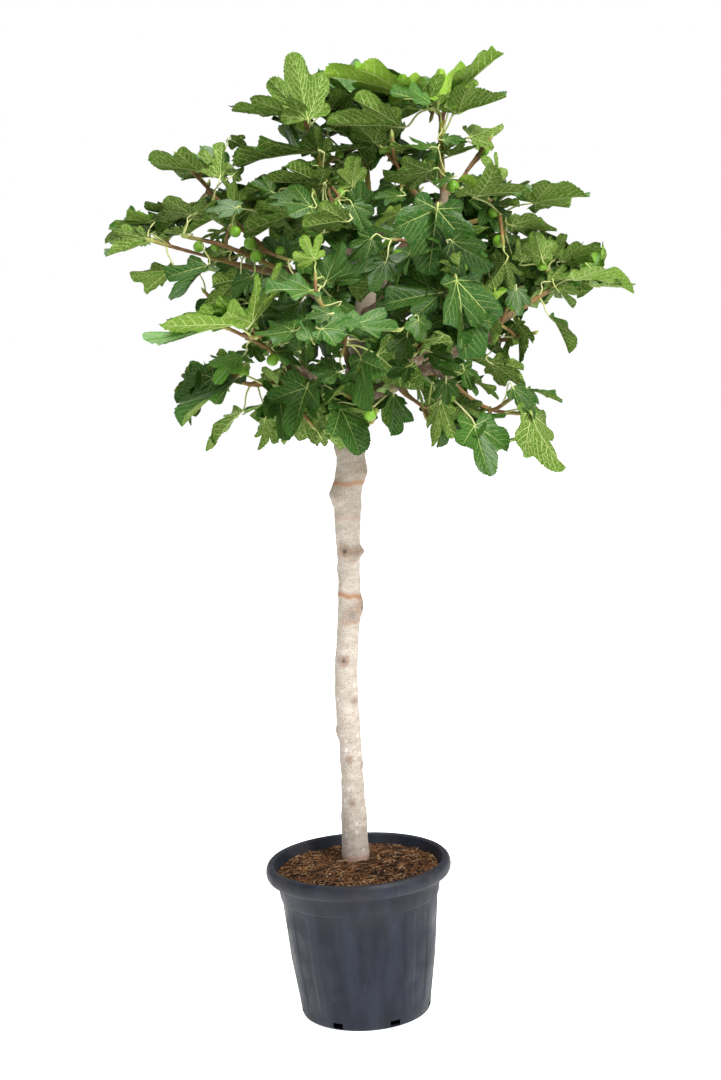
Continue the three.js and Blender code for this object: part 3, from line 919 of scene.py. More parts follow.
def drawBlades(step):
    drawn = [buildBlade(kind, np.random.default_rng(100 + 7 * n + m), step)
             for n, kind in enumerate(bladeKinds) for m in range(blade["copies"])]
    print("blades drawn:", len(drawn), "with", len(drawn[0]["faces"]), "faces a side and",
          len(drawn[0]["veinFaces"]), "vein faces a side")
    return drawn


# The leaves with a place of their own are the fine ones. The light ones have every third point of the rim.
blades, lightBlades = drawBlades(1), drawBlades(3)


def bendBlade(made, pose, every=0):  # every: only each so-manieth point of the rim
    pick = slice(0, made["rim"], every) if every else slice(None)
    radius, angle = made["radius"][pick], np.radians(made["angle"][pick])
    lobeAngles = np.radians([lobe[0] for lobe in made["lobes"]])[::-1]
    droop = np.interp(angle, lobeAngles, pose["droop"][::-1])
    lift = pose["cup"] * np.abs(np.sin(angle)) ** 0.8 * np.where(np.abs(angle) > 1.9, 0.8, 1.0)
    lift = lift * (1 + pose["lean"] * np.sign(angle))
    bend = np.where(np.abs(droop) < 1e-3, 1e-3, droop)
    flatRun = (np.sin(lift) - np.sin(lift - bend * radius)) / bend
    height = (np.cos(lift - bend * radius) - np.cos(lift)) / bend
    x, y = flatRun * np.sin(angle * pose["fan"]), flatRun * np.cos(angle * pose["fan"])
    ripple = np.sin(angle * pose["ripples"] + pose["phase"])
    ripple = ripple + 0.6 * np.sin(angle * pose["ripples"] * 1.7 + 2 * pose["phase"])
    height = height + pose["wave"] * ripple * made["shares"][pick] ** 2 * radius
    height = height + pose["puff"] * (1 - np.exp(-made["fold"][pick] / 0.05)) * radius ** 0.5
    twist = pose["twist"] * radius
    x, height = x * np.cos(twist) - height * np.sin(twist), x * np.sin(twist) + height * np.cos(twist)
    return np.stack([x, y, height], 1) * pose["length"]


def toWorld(leaf, local):
    return local @ np.stack([leaf["side"], leaf["along"], leaf["normal"]]) + leaf["base"]


def normalsOf(points, faces):
    a, b, c = points[faces[:, 0]], points[faces[:, 1]], points[faces[:, 2]]
    cross = np.cross(b - a, c - a)
    out = np.zeros_like(points)
    for k in range(3):
        np.add.at(out, faces[:, k], cross)
    return out / np.maximum(np.linalg.norm(out, axis=1), 1e-12)[:, None]


def bothSides(top, under, faces, slots):  # a thin closed shell
    return np.vstack([top, under]), np.vstack([faces, faces[:, ::-1] + len(top)]), slots


def leafParts(leaf):  # the blade as a thin closed shell, and its veins on both sides
    made = (blades if leaf.get("fine") else lightBlades)[leaf["kind"]]
    top = toWorld(leaf, bendBlade(made, leaf))
    faces, veinFaces = made["faces"], made["veinFaces"]
    normals = normalsOf(top, faces)
    thick = blade["thickness"] * np.minimum(1, (1 - made["shares"]) * 6)
    under = top - normals * thick[:, None]
    tie, weights = made["veinTie"], made["veinWeights"][..., None]
    lift = (normals[tie] * weights).sum(1)
    lift = lift / np.linalg.norm(lift, axis=1)[:, None]
    rises = [blade["veinBase"] + share * leaf["length"] * made["veinRidge"] for share in blade["veinRise"]]
    above = (top[tie] * weights).sum(1) + lift * rises[0][:, None]
    below = (under[tie] * weights).sum(1) - lift * rises[1][:, None]
    fine = (made["veinRank"][veinFaces[:, 0]] < 2).astype(int)
    return (bothSides(top, under, faces, np.repeat([0, 1], len(faces))),
            bothSides(above, below, veinFaces, np.concatenate([fine, np.full(len(fine), 2)])))


massShapes = [boxMiddle(name) for name in massNames]
crownLow = np.min([middle - half for middle, half in massShapes], axis=0)
crownHigh = np.max([middle + half for middle, half in massShapes], axis=0)
crownMiddle = (crownLow + crownHigh) / 2
boxLow, boxHigh = np.array(packedLow) - 0.010, np.array(packedHigh) + 0.012

habit = {
    "hang": (58, 30, 2),  # degrees below level of a grown blade, at the foot, middle and top of the head
    "youngRise": 55, "cup": (0.25, 0.32, 0.45), "droop": (0.6, 0.5, 0.3), "stalk": (0.42, 0.80),
    "uneven": {"heading": 0.35, "hang": 18, "roll": 0.4, "azimuth": 0.25},
    "spread": 137.5,  # degrees from each leaf of a shoot to the next
    "nodeGaps": (0.007, 0.027),  # between leaves, at the tip of a shoot and at its foot
    "tries": 16, "mostHidden": 0.7, "mostShown": 2,
    "twigStep": 0.012, "twigTip": 0.0042,
    "fillLeaves": 3, "fillTries": 420, "fillPlaces": 500, "fillDepth": 0.32,
}
# What speaks against a place for a leaf: it leaves the box or its mass, rolls over, crowds another leaf,
# comes near the stem, or hides sky or a leaf with its own place.
against = {"box": 60, "mass": 0.9, "roll": 0.4, "crowd": 2.2, "crowdWithin": 0.45, "stem": 5,
           "stemWithin": 0.045, "hide": 1.5}
leaves, twigs, figSpots, bladeMiddles, keptClear = [], [], [], [], []


def spot(across, down, depth):  # the place at this depth that shows at this spot of the camera's frame
    width, height = camera["image"]
    x, y = (across - width / 2) / camera["focal"], (height / 2 - down) / camera["focal"]
    x, y = (x * math.cos(cameraRoll) + y * math.sin(cameraRoll),
            y * math.cos(cameraRoll) - x * math.sin(cameraRoll))
    ray = np.array([x, math.cos(pitchDown) + y * math.sin(pitchDown),
                    y * math.cos(pitchDown) - math.sin(pitchDown)])
    return np.array(camera["place"]) + ray * (depth - camera["place"][1]) / ray[1]


# The outline of the head in the camera's frame, from the top leaf on, and where the sky shows through it:
# across, down and how wide.
headOutline = [
    (282, 54), (290, 51), (300, 57), (309, 62), (310, 76), (316, 70), (323, 67), (328, 78), (341, 72),
    (352, 61), (375, 61), (390, 65), (401, 73), (417, 74), (423, 82), (439, 67), (446, 72), (467, 59),
    (475, 61), (500, 51), (505, 55), (504, 70), (485, 84), (507, 93), (508, 101), (478, 112), (480, 118),
    (503, 119), (505, 140), (492, 150), (500, 155), (508, 178), (545, 181), (593, 190), (588, 206),
    (560, 209), (558, 240), (606, 242), (604, 267), (638, 280), (637, 298), (612, 291), (585, 286),
    (584, 312), (586, 350), (575, 360), (556, 332), (534, 330), (533, 364), (530, 384), (566, 394),
    (563, 404), (540, 400), (572, 470), (545, 450), (514, 442), (509, 470), (492, 480), (474, 471),
    (462, 452), (432, 452), (427, 430), (408, 424), (397, 440), (381, 432), (368, 420), (366, 452),
    (350, 462), (334, 442), (320, 449), (300, 440), (281, 445), (255, 454), (250, 440), (244, 418),
    (206, 456), (202, 432), (184, 430), (172, 380), (205, 350), (240, 346), (250, 330), (142, 343),
    (200, 308), (210, 300), (172, 305), (140, 308), (127, 270), (160, 260), (200, 260), (205, 250),
    (150, 246), (101, 261), (106, 226), (140, 198), (176, 196), (200, 184), (147, 175), (146, 153),
    (205, 146), (219, 139), (226, 150), (245, 142), (262, 129), (277, 128), (294, 133), (303, 126),
    (300, 122), (281, 127), (268, 120), (228, 113), (231, 105), (272, 103), (264, 88), (264, 75),
    (271, 76), (283, 86), (278, 72),
]
openSky = [
    (321, 119, 6), (334, 145, 6), (310, 156, 5), (297, 158, 6), (284, 160, 7), (268, 167, 6),
    (252, 168, 8), (243, 177, 7), (230, 181, 5), (213, 183, 5), (192, 197, 8), (414, 119, 10),
    (425, 128, 9), (432, 138, 4), (404, 138, 4), (446, 115, 4), (451, 128, 7), (470, 114, 6),
    (485, 110, 8), (497, 109, 7), (378, 165, 9), (380, 180, 10), (430, 188, 7), (455, 187, 6),
    (475, 163, 11), (462, 159, 6), (470, 148, 5), (516, 207, 9), (529, 204, 5), (545, 212, 7),
    (507, 223, 4), (262, 229, 8), (250, 224, 4), (214, 226, 9), (212, 242, 4), (196, 228, 4),
    (176, 253, 9), (208, 261, 4), (206, 284, 8), (195, 292, 8), (186, 292, 9), (213, 276, 5),
    (160, 296, 7), (236, 333, 6), (225, 335, 6), (256, 374, 5), (268, 356, 5), (282, 351, 4),
    (236, 392, 9), (249, 398, 8), (262, 391, 6), (212, 412, 8), (222, 404, 6), (252, 424, 5),
    (330, 368, 5), (315, 368, 6), (345, 362, 4), (557, 298, 8), (545, 312, 7), (566, 307, 5),
    (530, 318, 7), (552, 336, 7), (503, 342, 6), (510, 352, 5), (489, 350, 7), (472, 363, 4),
    (480, 372, 4), (534, 386, 5), (414, 398, 9), (410, 411, 7), (418, 421, 8), (405, 392, 5),
    (396, 391, 4), (427, 393, 4), (477, 392, 6), (466, 396, 5), (488, 400, 4), (500, 425, 6),
    (508, 432, 6), (511, 404, 4), (513, 416, 5), (545, 410, 6), (556, 418, 7), (445, 447, 6),
    (457, 450, 6),
]


def covered(outline, places):  # which places lie inside a closed outline
    start, end = outline, np.roll(outline, -1, axis=0)
    rise = np.where(end[:, 1] == start[:, 1], 1e-9, end[:, 1] - start[:, 1])
    between = (start[None, :, 1] > places[:, 1:]) != (end[None, :, 1] > places[:, 1:])
    meets = start[:, 0] + (places[:, 1:] - start[:, 1]) * (end[:, 0] - start[:, 0]) / rise
    return ((between & (meets > places[:, :1])).sum(axis=1) % 2) == 1


def inFrame(points):  # across and down in the camera's frame
    off = points - np.array(camera["place"])
    ahead = off[:, 1] * math.cos(pitchDown) - off[:, 2] * math.sin(pitchDown)
    above = off[:, 1] * math.sin(pitchDown) + off[:, 2] * math.cos(pitchDown)
    x, y = off[:, 0] / ahead, above / ahead
    x, y = (x * math.cos(cameraRoll) - y * math.sin(cameraRoll),
            x * math.sin(cameraRoll) + y * math.cos(cameraRoll))
    width, height = camera["image"]
    return np.stack([width / 2 + x * camera["focal"], height / 2 - y * camera["focal"]], 1)


def openAt(seen, extra=0):  # which spots of the frame lie outside the outline or in a window of sky
    windows = np.array(openSky, float)
    off = np.linalg.norm(seen[:, None] - windows[None, :, :2], axis=2)
    return (off < windows[None, :, 2] + extra).any(axis=1) | ~covered(np.array(headOutline, float), seen)


def skyHidden(rim):  # how much open sky a leaf with this rim would hide
    seen = inFrame(rim)
    return int(openAt(seen).sum()) + 2 * int(covered(seen, np.array(openSky, float)[:, :2]).sum())


def byHeight(values, z):
    return np.interp((z - crownLow[2]) / (crownHigh[2] - crownLow[2]), [0, 0.5, 1], values)


def newPose(size, age, rng, tint, kind=None):
    return {"length": size, "tint": tint, "age": age,
            "kind": int(rng.integers(len(blades))) if kind is None else kind,
            "lean": rng.uniform(-0.4, 0.4), "droop": rng.normal(0, 0.3, 5), "ripples": rng.uniform(5, 8),
            "phase": rng.uniform(0, 6.28), "wave": rng.uniform(0.04, 0.10), "puff": rng.uniform(0.03, 0.07),
            "twist": rng.normal(0, 0.25), "fan": rng.uniform(0.80, 1.02)}


def boxExcess(points):
    return np.clip(boxLow - points, 0, None) + np.clip(points - boxHigh, 0, None)


def tryLeaf(pose, node, axis, azimuth, mass, rng):  # a leaf on this node, and what speaks against it
    middle, half = mass
    age, size, uneven = pose["age"], pose["length"], habit["uneven"]
    sideways = unit(np.cross(axis, up) if abs(axis[2]) < 0.95 else np.array([1.0, 0, 0]))
    radial = spin(sideways, axis, azimuth)
    outward = unit((node - crownMiddle) * [1, 1, 0.4])
    heading = unit(radial + axis * mix(0.95, 0.3, age) + outward * 0.5 + up * 0.25)
    base = node + heading * size * pose["stalk"]
    level = heading * [1, 1, 0]
    if np.linalg.norm(level) < 0.2:
        level = radial * [1, 1, 0] + outward * 0.3 * [1, 1, 0]
    level = unit(spin(unit(level), up, rng.normal(0, uneven["heading"])))
    offHang = rng.normal(0, uneven["hang"])
    grownHang = byHeight(habit["hang"], base[2]) * mix(0.4, 1.1, age)
    hang = math.radians(grownHang - habit["youngRise"] * (1 - age) ** 2 + offHang)
    along = level * math.cos(hang) - up * math.sin(hang)
    roll = rng.normal(0, uneven["roll"])
    normal = spin(level * math.sin(hang) + up * math.cos(hang), along, roll)
    leaf = dict(pose, base=base, along=along, normal=normal, side=np.cross(along, normal), node=node,
                heading=heading)
    rim = toWorld(leaf, bendBlade(blades[pose["kind"]], leaf, 12))
    reach = np.linalg.norm((rim - middle) / (half + 0.01), axis=1)
    cost = against["box"] * boxExcess(rim).sum() + against["mass"] * np.clip(reach - 1, 0, None).sum()
    cost = cost + against["roll"] * roll ** 2
    if bladeMiddles:
        gaps = np.linalg.norm(np.array(bladeMiddles) - rim.mean(0), axis=1)
        cost += against["crowd"] * np.clip(1 - gaps / (against["crowdWithin"] * size), 0, None).sum()
    near = np.linalg.norm(limbs["trunk"][0][None] - rim[:, None], axis=2).min()
    within = against["stemWithin"]
    leaf["hides"] = skyHidden(rim) + keptHidden(rim) / 3
    return cost + against["stem"] * max(0, within - near) / within + against["hide"] * leaf["hides"], leaf


def keptHidden(rim):  # how much of the leaves and figs with a place of their own a leaf would hide
    if not keptClear:
        return 0
    kept, seen = np.array(keptClear), inFrame(rim)
    behind = kept[:, 3] > rim[:, 1].mean() - 0.02
    near = np.linalg.norm(seen[:, None] - kept[None, :, :2], axis=2) < kept[:, 2]
    return int((near & behind).any(axis=1).sum()) + 3 * int((covered(seen, kept[:, :2]) & behind).sum())


def keepClear(place, radius):
    across, down = inFrame(place[None])[0]
    away = place[1] - camera["place"][1]
    keptClear.append((across, down, radius / away * camera["focal"], place[1]))


def keepLeaf(leaf):  # a leaf that leaves the box is moved back into it
    made = blades[leaf["kind"]]
    for _ in range(4):
        rim = toWorld(leaf, bendBlade(made, leaf, 4))
        over = boxExcess(rim).max(axis=0)
        if over.max() < 0.004:
            break
        shift = np.where((rim > boxHigh).any(axis=0), -over, over)
        leaf["base"] = leaf["base"] + shift * 0.8
        leaf["length"] *= 0.96
    leaves.append(leaf)
    bladeMiddles.append(toWorld(leaf, bendBlade(made, leaf, 12)).mean(0))


def addLeaf(item, rng):  # the best of some tries for the leaf of a node, if it hides little
    age, place, azimuth = item["age"], item["node"], item["azimuth"]
    size = rng.uniform(*tree["leafSize"]) * mix(0.62, 1.0, smoothStep(0.0, 0.3, age))
    pose = newPose(size, age, rng, item["tint"])
    pose["stalk"] = rng.uniform(*habit["stalk"]) * mix(0.5, 1.0, age)
    pose["cup"] = byHeight(habit["cup"], place[2]) * rng.uniform(0.5, 1.4) + 0.3 * (1 - age) ** 2
    pose["droop"] = pose["droop"] + byHeight(habit["droop"], place[2]) * mix(0.3, 1, age)
    tries = [tryLeaf(pose, place, item["axis"], azimuth + rng.normal(0, 0.3 + 0.06 * k), item["mass"], rng)
             for k in range(habit["tries"])]
    best = min(tries, key=lambda pair: pair[0])[1]
    if best["hides"] <= habit["mostHidden"]:
        keepLeaf(best)


def growTwig(start, heading, goal, radius, tipRadius=habit["twigTip"]):
    reach = np.linalg.norm(goal - start)
    steps = max(6, int(reach / habit["twigStep"]))
    middle = mix(start + heading * reach * 0.45, (start + goal) / 2, 0.4)
    line = alongLine([start, middle, goal], steps)
    twigs.append((line, mix(radius, tipRadius, np.linspace(0, 1, steps) ** 0.8)))
    return line


def leafNodes(line, count, mass, tints, rng):  # where the leaves of a shoot start, from its tip down
    run = np.linspace(0, 1, len(line))
    ahead = lineFrames(line)[0]
    reach = lengthOf(line)
    azimuth = rng.uniform(0, 2 * math.pi)
    place, nodes = 1.0, []
    for k in range(count):
        age = k / max(count - 1, 1)
        place = max(place - mix(*habit["nodeGaps"], age) / reach, 0.04)
        tint = tints[0] if age < 0.2 else (tints[1] if age < 0.55 else tints[2])
        nodes.append({"node": pointsAt(place, run, line), "axis": unit(pointsAt(place, run, ahead)),
                      "azimuth": azimuth, "age": age, "mass": mass, "tint": tint})
        azimuth += math.radians(habit["spread"]) + rng.normal(0, habit["uneven"]["azimuth"])
    return nodes


tintSets = [("fresh", "mid", "deep"), ("young", "fresh", "mid"), ("mid", "deep", "deep"),
            ("mid", "mid", "deep")]

# Shoot tips, leaves and figs with a place of their own: across, down and depth (less is nearer).
shootTips = [
    (305, 128, 0.05), (432, 108, 0.0), (213, 200, 0.0), (183, 236, -0.05), (322, 165, 0.12),
    (255, 250, -0.1), (338, 200, -0.15), (256, 338, -0.3), (240, 362, -0.15), (300, 385, -0.2),
    (345, 395, -0.25), (318, 300, -0.35), (400, 330, -0.4), (440, 205, -0.3), (455, 275, -0.35),
    (512, 398, -0.15), (450, 385, -0.2), (547, 270, -0.05), (482, 196, 0.0), (500, 215, -0.1),
    (380, 150, 0.05),
]
# Foot of the blade with its depth, tip of the middle lobe, tips of the two lobes beside it; the face that
# is seen, the kind of blade and its tint, which are 9 and deep where none are named.
# Here the tints are partly painted light and shade: deep for leaves in the shade inside the head, mid for
# those at its top.
ownLeaves = [
    (308, 120, -0.05, 292, 52, 267, 76, 322, 67, "under", 9, "mid"),
    (304, 119, 0, 231, 110, 252, 107, 269, 123, "under", 4, "mid"),
    (330, 110, 0.05, 365, 95, 328, 84, 348, 106, "under", 7, "mid"),
    (402, 127, -0.03, 327, 124, 370, 99, 352, 131, "under", 7, "mid"),
    (375, 143, 0, 352, 121, 333, 137, 417, 131, "under"),
    (318, 152, 0, 233, 167, 266, 132, 262, 161, "under", 10, "deep"),
    (319, 152, 0.02, 313, 127, 299, 133, 330, 141, "under"),
    (374, 148, 0.04, 323, 154, 345, 149, 348, 159, "top", 11, "deep"),
    (352, 186, -0.05, 356, 157, 336, 174, 371, 166, "under", 9, "mid"),
    (320, 184, -0.12, 265, 182, 296, 164, 292, 187, "under", 0, "mid"),
    (312, 167, -0.06, 281, 169, 295, 160, 300, 173, "top", 4, "deep"),
    (272, 192, -0.05, 250, 184, 259, 170, 262, 197, "top", 2, "deep"),
    (311, 207, -0.2, 267, 203, 292, 187, 286, 217, "top", 11, "deep"),
    (347, 221, -0.22, 303, 229, 322, 208, 322, 231, "under", 10, "mid"),
    (352, 205, -0.18, 365, 232, 346, 225, 382, 216, "top"),
    (399, 212, -0.2, 376, 228, 386, 213, 394, 227, "under", 6, "fresh"),
    (314, 259, -0.3, 303, 236, 291, 257, 322, 233, "under", 3, "fresh"),
    (326, 282, -0.3, 343, 243, 312, 267, 353, 262, "top", 10, "deep"),
    (332, 280, -0.28, 381, 266, 355, 262, 368, 286, "top", 8, "deep"),
    (252, 323, -0.3, 283, 264, 248, 285, 276, 300, "under", 12, "fresh"),
    (312, 291, -0.34, 266, 290, 292, 278, 286, 297, "top", 9, "mid"),
    (301, 302, -0.3, 284, 328, 268, 309, 303, 322, "top", 8, "deep"),
    (293, 331, -0.36, 255, 336, 270, 322, 281, 350, "top", 9, "mid"),
    (322, 329, -0.41, 362, 340, 350, 320, 336, 346, "top", 10, "mid"),
    (350, 326, -0.4, 398, 329, 380, 312, 381, 342, "top", 17, "mid"),
    (338, 306, -0.34, 319, 320, 323, 306, 330, 322, "top", 6, "mid"),
    (418, 320, -0.4, 420, 341, 399, 326, 440, 320, "top", 10, "mid"),
    (408, 335, -0.32, 400, 366, 386, 350, 412, 351, "top", 7, "deep"),
    (437, 209, -0.36, 424, 274, 397, 224, 486, 246, "top", 10, "deep"),
    (452, 241, -0.4, 494, 265, 487, 246, 466, 277, "top", 16, "deep"),
    (456, 280, -0.4, 463, 360, 441, 334, 496, 317, "top", 10, "deep"),
    (441, 293, -0.34, 385, 303, 412, 276, 412, 318, "top", 11, "deep"),
    (410, 254, -0.34, 398, 285, 391, 268, 413, 272, "top", 5, "mid"),
    (372, 238, -0.25, 347, 262, 350, 245, 366, 266, "top", 2, "deep"),
    (200, 171, 0, 148, 161, 182, 151, 176, 173, "under", 9, "mid"),
    (220, 178, -0.02, 222, 142, 203, 152, 237, 164, "under", 1, "mid"),
    (191, 214, -0.02, 144, 207, 173, 196, 160, 221, "under", 9, "mid"),
    (193, 215, -0.04, 217, 201, 205, 198, 214, 216, "under", 6, "deep"),
    (237, 208, -0.1, 206, 212, 222, 200, 221, 227, "top", 8, "deep"),
    (150, 222, -0.02, 115, 226, 128, 210, 131, 230, "under", 9, "fresh"),
    (150, 240, -0.04, 105, 255, 117, 230, 124, 252, "under", 7, "mid"),
    (187, 234, -0.03, 163, 234, 168, 227, 172, 237, "under", 1, "deep"),
    (224, 231, -0.08, 202, 239, 208, 231, 216, 239, "under", 5, "deep"),
    (170, 270, -0.02, 129, 274, 150, 261, 147, 306, "under", 10, "mid"),
    (207, 266, -0.08, 171, 300, 175, 269, 196, 286, "top", 8, "deep"),
    (237, 280, -0.1, 207, 309, 214, 276, 238, 301, "under", 6, "deep"),
    (252, 276, -0.12, 235, 300, 231, 285, 249, 298, "top", 8, "deep"),
    (243, 320, -0.28, 198, 317, 228, 300, 215, 320, "under", 9, "fresh"),
    (226, 319, -0.3, 165, 325, 186, 317, 192, 327, "under", 13, "fresh"),
    (236, 324, -0.31, 143, 339, 180, 328, 186, 334, "under", 12, "fresh"),
    (237, 324, -0.26, 197, 328, 213, 321, 218, 334, "under", 4, "deep"),
    (243, 356, -0.2, 216, 385, 207, 366, 238, 374, "top", 9, "fresh"),
    (214, 378, -0.14, 176, 402, 184, 374, 202, 404, "top"),
    (238, 378, -0.16, 182, 427, 190, 402, 219, 402, "top", 9, "mid"),
    (241, 412, -0.1, 206, 452, 213, 426, 229, 438, "under", 4, "mid"),
    (262, 343, -0.2, 242, 348, 250, 338, 256, 356, "under", 12, "deep"),
    (307, 388, -0.24, 291, 436, 268, 403, 334, 385, "top", 1, "mid"),
    (277, 390, -0.2, 284, 441, 252, 413, 298, 424, "top"),
    (265, 418, -0.12, 257, 450, 253, 434, 277, 445, "under", 6, "mid"),
    (313, 405, -0.2, 314, 444, 298, 426, 325, 430, "under", 7, "deep"),
    (322, 390, -0.26, 318, 418, 306, 405, 332, 399, "top", 4, "deep"),
    (340, 408, -0.26, 358, 456, 328, 436, 366, 424, "top", 10, "deep"),
    (361, 359, -0.3, 371, 411, 350, 392, 391, 371, "top", 10, "mid"),
    (393, 394, -0.26, 390, 436, 383, 418, 411, 420, "top"),
    (456, 372, -0.26, 433, 364, 443, 356, 441, 374, "top", 9, "mid"),
    (446, 381, -0.28, 447, 405, 431, 398, 461, 398, "top", 15, "deep"),
    (441, 400, -0.2, 432, 447, 422, 424, 455, 437, "under", 6, "mid"),
    (474, 426, -0.2, 491, 476, 460, 449, 511, 450, "top", 7, "mid"),
    (461, 405, -0.16, 485, 419, 480, 402, 470, 428, "under", 4, "deep"),
    (490, 362, -0.12, 525, 387, 525, 373, 494, 397, "under", 9, "mid"),
    (463, 368, -0.2, 476, 396, 465, 390, 476, 378, "top", 12, "deep"),
    (474, 381, -0.18, 498, 400, 482, 395, 491, 386, "under", 12, "deep"),
    (527, 389, -0.12, 562, 403, 552, 389, 546, 400, "top", 9, "mid"),
    (512, 387, -0.16, 530, 423, 517, 413, 541, 407, "top", 8, "deep"),
    (531, 413, -0.16, 566, 468, 531, 447, 556, 434, "under", 9, "mid"),
    (494, 340, -0.1, 507, 374, 497, 356, 508, 353, "under", 12, "deep"),
    (514, 319, -0.1, 519, 363, 511, 345, 531, 345, "top", 6, "deep"),
    (549, 316, -0.06, 569, 354, 558, 336, 584, 336, "top", 9, "mid"),
    (557, 289, -0.06, 573, 308, 562, 299, 583, 293, "under", 3, "deep"),
    (542, 258, -0.08, 535, 232, 518, 240, 557, 242, "under", 9, "mid"),
    (556, 256, -0.04, 564, 234, 551, 237, 571, 246, "under"),
    (561, 262, -0.05, 602, 249, 583, 243, 592, 263, "under", 9, "mid"),
    (574, 280, -0.06, 634, 293, 599, 269, 604, 291, "under", 10, "fresh"),
    (547, 282, -0.05, 577, 277, 557, 265, 566, 285, "under", 7, "deep"),
    (512, 225, -0.08, 557, 230, 540, 211, 530, 237, "under", 10, "mid"),
    (506, 228, -0.02, 510, 211, 498, 216, 519, 214, "under", 9, "mid"),
    (535, 203, -0.05, 589, 196, 551, 185, 560, 206, "under", 9, "mid"),
    (477, 196, -0.1, 531, 193, 468, 172, 510, 199, "under", 15, "mid"),
    (488, 204, -0.06, 500, 232, 478, 226, 508, 216, "top"),
    (452, 178, -0.1, 433, 184, 442, 176, 443, 190, "top", 7, "mid"),
    (432, 170, -0.1, 383, 174, 401, 159, 408, 188, "under", 10, "deep"),
    (432, 148, -0.08, 399, 150, 414, 141, 412, 160, "top", 14, "mid"),
    (400, 150, -0.06, 379, 152, 388, 144, 390, 158, "under", 9, "fresh"),
    (437, 150, -0.04, 426, 170, 422, 158, 437, 166, "top", 6, "deep"),
    (450, 156, -0.02, 477, 147, 462, 146, 465, 159, "under", 2, "deep"),
    (443, 140, -0.02, 467, 142, 455, 133, 460, 148, "top", 4, "mid"),
    (470, 137, 0, 503, 124, 468, 121, 500, 145, "under", 9, "mid"),
    (499, 181, 0, 497, 152, 478, 156, 507, 168, "under", 13, "mid"),
    (458, 114, -0.02, 506, 97, 458, 90, 484, 110, "under", 9, "mid"),
    (454, 101, 0, 504, 54, 474, 64, 504, 68, "under", 12, "fresh"),
    (440, 103, -0.03, 460, 60, 438, 68, 470, 76, "under", 9, "young"),
    (402, 94, -0.02, 322, 77, 354, 61, 352, 92, "under", 6, "young"),
    (403, 95, 0, 420, 76, 404, 74, 423, 89, "under", 9, "young"),
    (430, 103, -0.06, 391, 93, 407, 88, 415, 104, "top", 7, "mid"),
    (424, 109, -0.03, 386, 104, 404, 101, 405, 110, "top", 11, "deep"),
    (400, 196, -0.12, 372, 200, 390, 190, 386, 207, "top", 8, "deep"),
    (505, 262, -0.2, 485, 290, 512, 285, 490, 266, "under", 5, "deep"),
    (492, 318, -0.16, 490, 346, 483, 331, 501, 331, "under", 7, "mid"),
    (442, 336, -0.3, 418, 357, 424, 340, 432, 358, "under", 8, "deep"),
    (415, 380, -0.2, 424, 409, 416, 398, 429, 392, "under", 12, "deep"),
    (312, 340, -0.4, 303, 320, 290, 334, 327, 322, "top", 9, "mid"),
    (328, 341, -0.36, 340, 358, 327, 352, 347, 347, "top"),
    (306, 348, -0.33, 306, 369, 300, 360, 312, 358, "top", 6, "deep"),
    (330, 314, -0.4, 306, 318, 312, 306, 318, 328, "top"),
    (288, 264, -0.1, 264, 238, 278, 240, 266, 256, "top"),
    (306, 240, -0.02, 284, 264, 280, 246, 302, 266, "top"),
    (302, 264, -0.16, 322, 276, 302, 276, 316, 264, "top"),
    (262, 260, -0.06, 238, 252, 250, 243, 246, 263, "under"),
    (262, 276, -0.08, 262, 302, 250, 294, 276, 296, "top"),
    (290, 282, -0.2, 262, 284, 276, 272, 276, 296, "top"),
    (226, 252, -0.04, 203, 256, 210, 246, 214, 264, "under"),
    (216, 262, 0.06, 218, 240, 206, 248, 230, 246, "top"),
    (234, 268, 0.05, 212, 280, 214, 266, 230, 284, "top"),
    (395, 186, 0.03, 384, 226, 371, 206, 402, 210, "top"),
    (360, 206, -0.1, 362, 181, 346, 190, 373, 192, "top"),
    (404, 230, -0.05, 380, 240, 386, 228, 396, 244, "top"),
    (522, 262, -0.04, 534, 232, 518, 238, 548, 240, "under"),
    (510, 250, -0.02, 502, 228, 494, 236, 516, 236, "top"),
    (420, 190, 0.02, 404, 204, 402, 190, 418, 208, "top"),
    (460, 190, 0.02, 440, 204, 444, 190, 456, 208, "top"),
    (246, 256, 0.1, 268, 240, 254, 240, 268, 256, "top"),
    (232, 176, 0, 244, 166, 232, 168, 243, 180, "under"),
    (380, 318, -0.3, 372, 350, 358, 336, 392, 340, "top"),
    (516, 288, -0.14, 520, 316, 506, 306, 530, 306, "top"),
    (320, 436, -0.2, 326, 446, 314, 444, 336, 438, "under"),
    (498, 206, 0, 520, 206, 508, 199, 510, 214, "under"),
    (510, 330, -0.08, 505, 356, 500, 344, 514, 345, "under", 9, "mid"),
    (262, 316, -0.24, 288, 346, 264, 340, 292, 322, "top"),
    (288, 316, -0.26, 262, 300, 280, 296, 262, 316, "top"),
    (300, 352, -0.3, 284, 338, 296, 334, 282, 350, "top"),
    (252, 345, -0.2, 262, 362, 248, 358, 270, 352, "top"),
    (386, 262, -0.3, 374, 293, 360, 278, 394, 282, "top"),
    (402, 300, -0.3, 376, 306, 384, 292, 388, 318, "top"),
    (330, 296, -0.3, 352, 312, 332, 312, 350, 298, "top"),
    (408, 366, -0.3, 388, 378, 388, 364, 404, 384, "top"),
    (430, 352, -0.32, 452, 362, 434, 368, 452, 350, "top"),
    (412, 346, -0.3, 396, 356, 398, 344, 408, 362, "top"),
    (232, 140, 0.04, 246, 148, 232, 150, 246, 138, "under"),
    (322, 190, 0.04, 316, 206, 306, 196, 328, 206, "top"),
    (340, 186, 0.04, 340, 204, 330, 198, 350, 200, "top"),
    (338, 372, -0.36, 308, 370, 322, 360, 320, 384, "top"),
    (276, 352, -0.36, 300, 368, 290, 352, 282, 370, "top"),
]
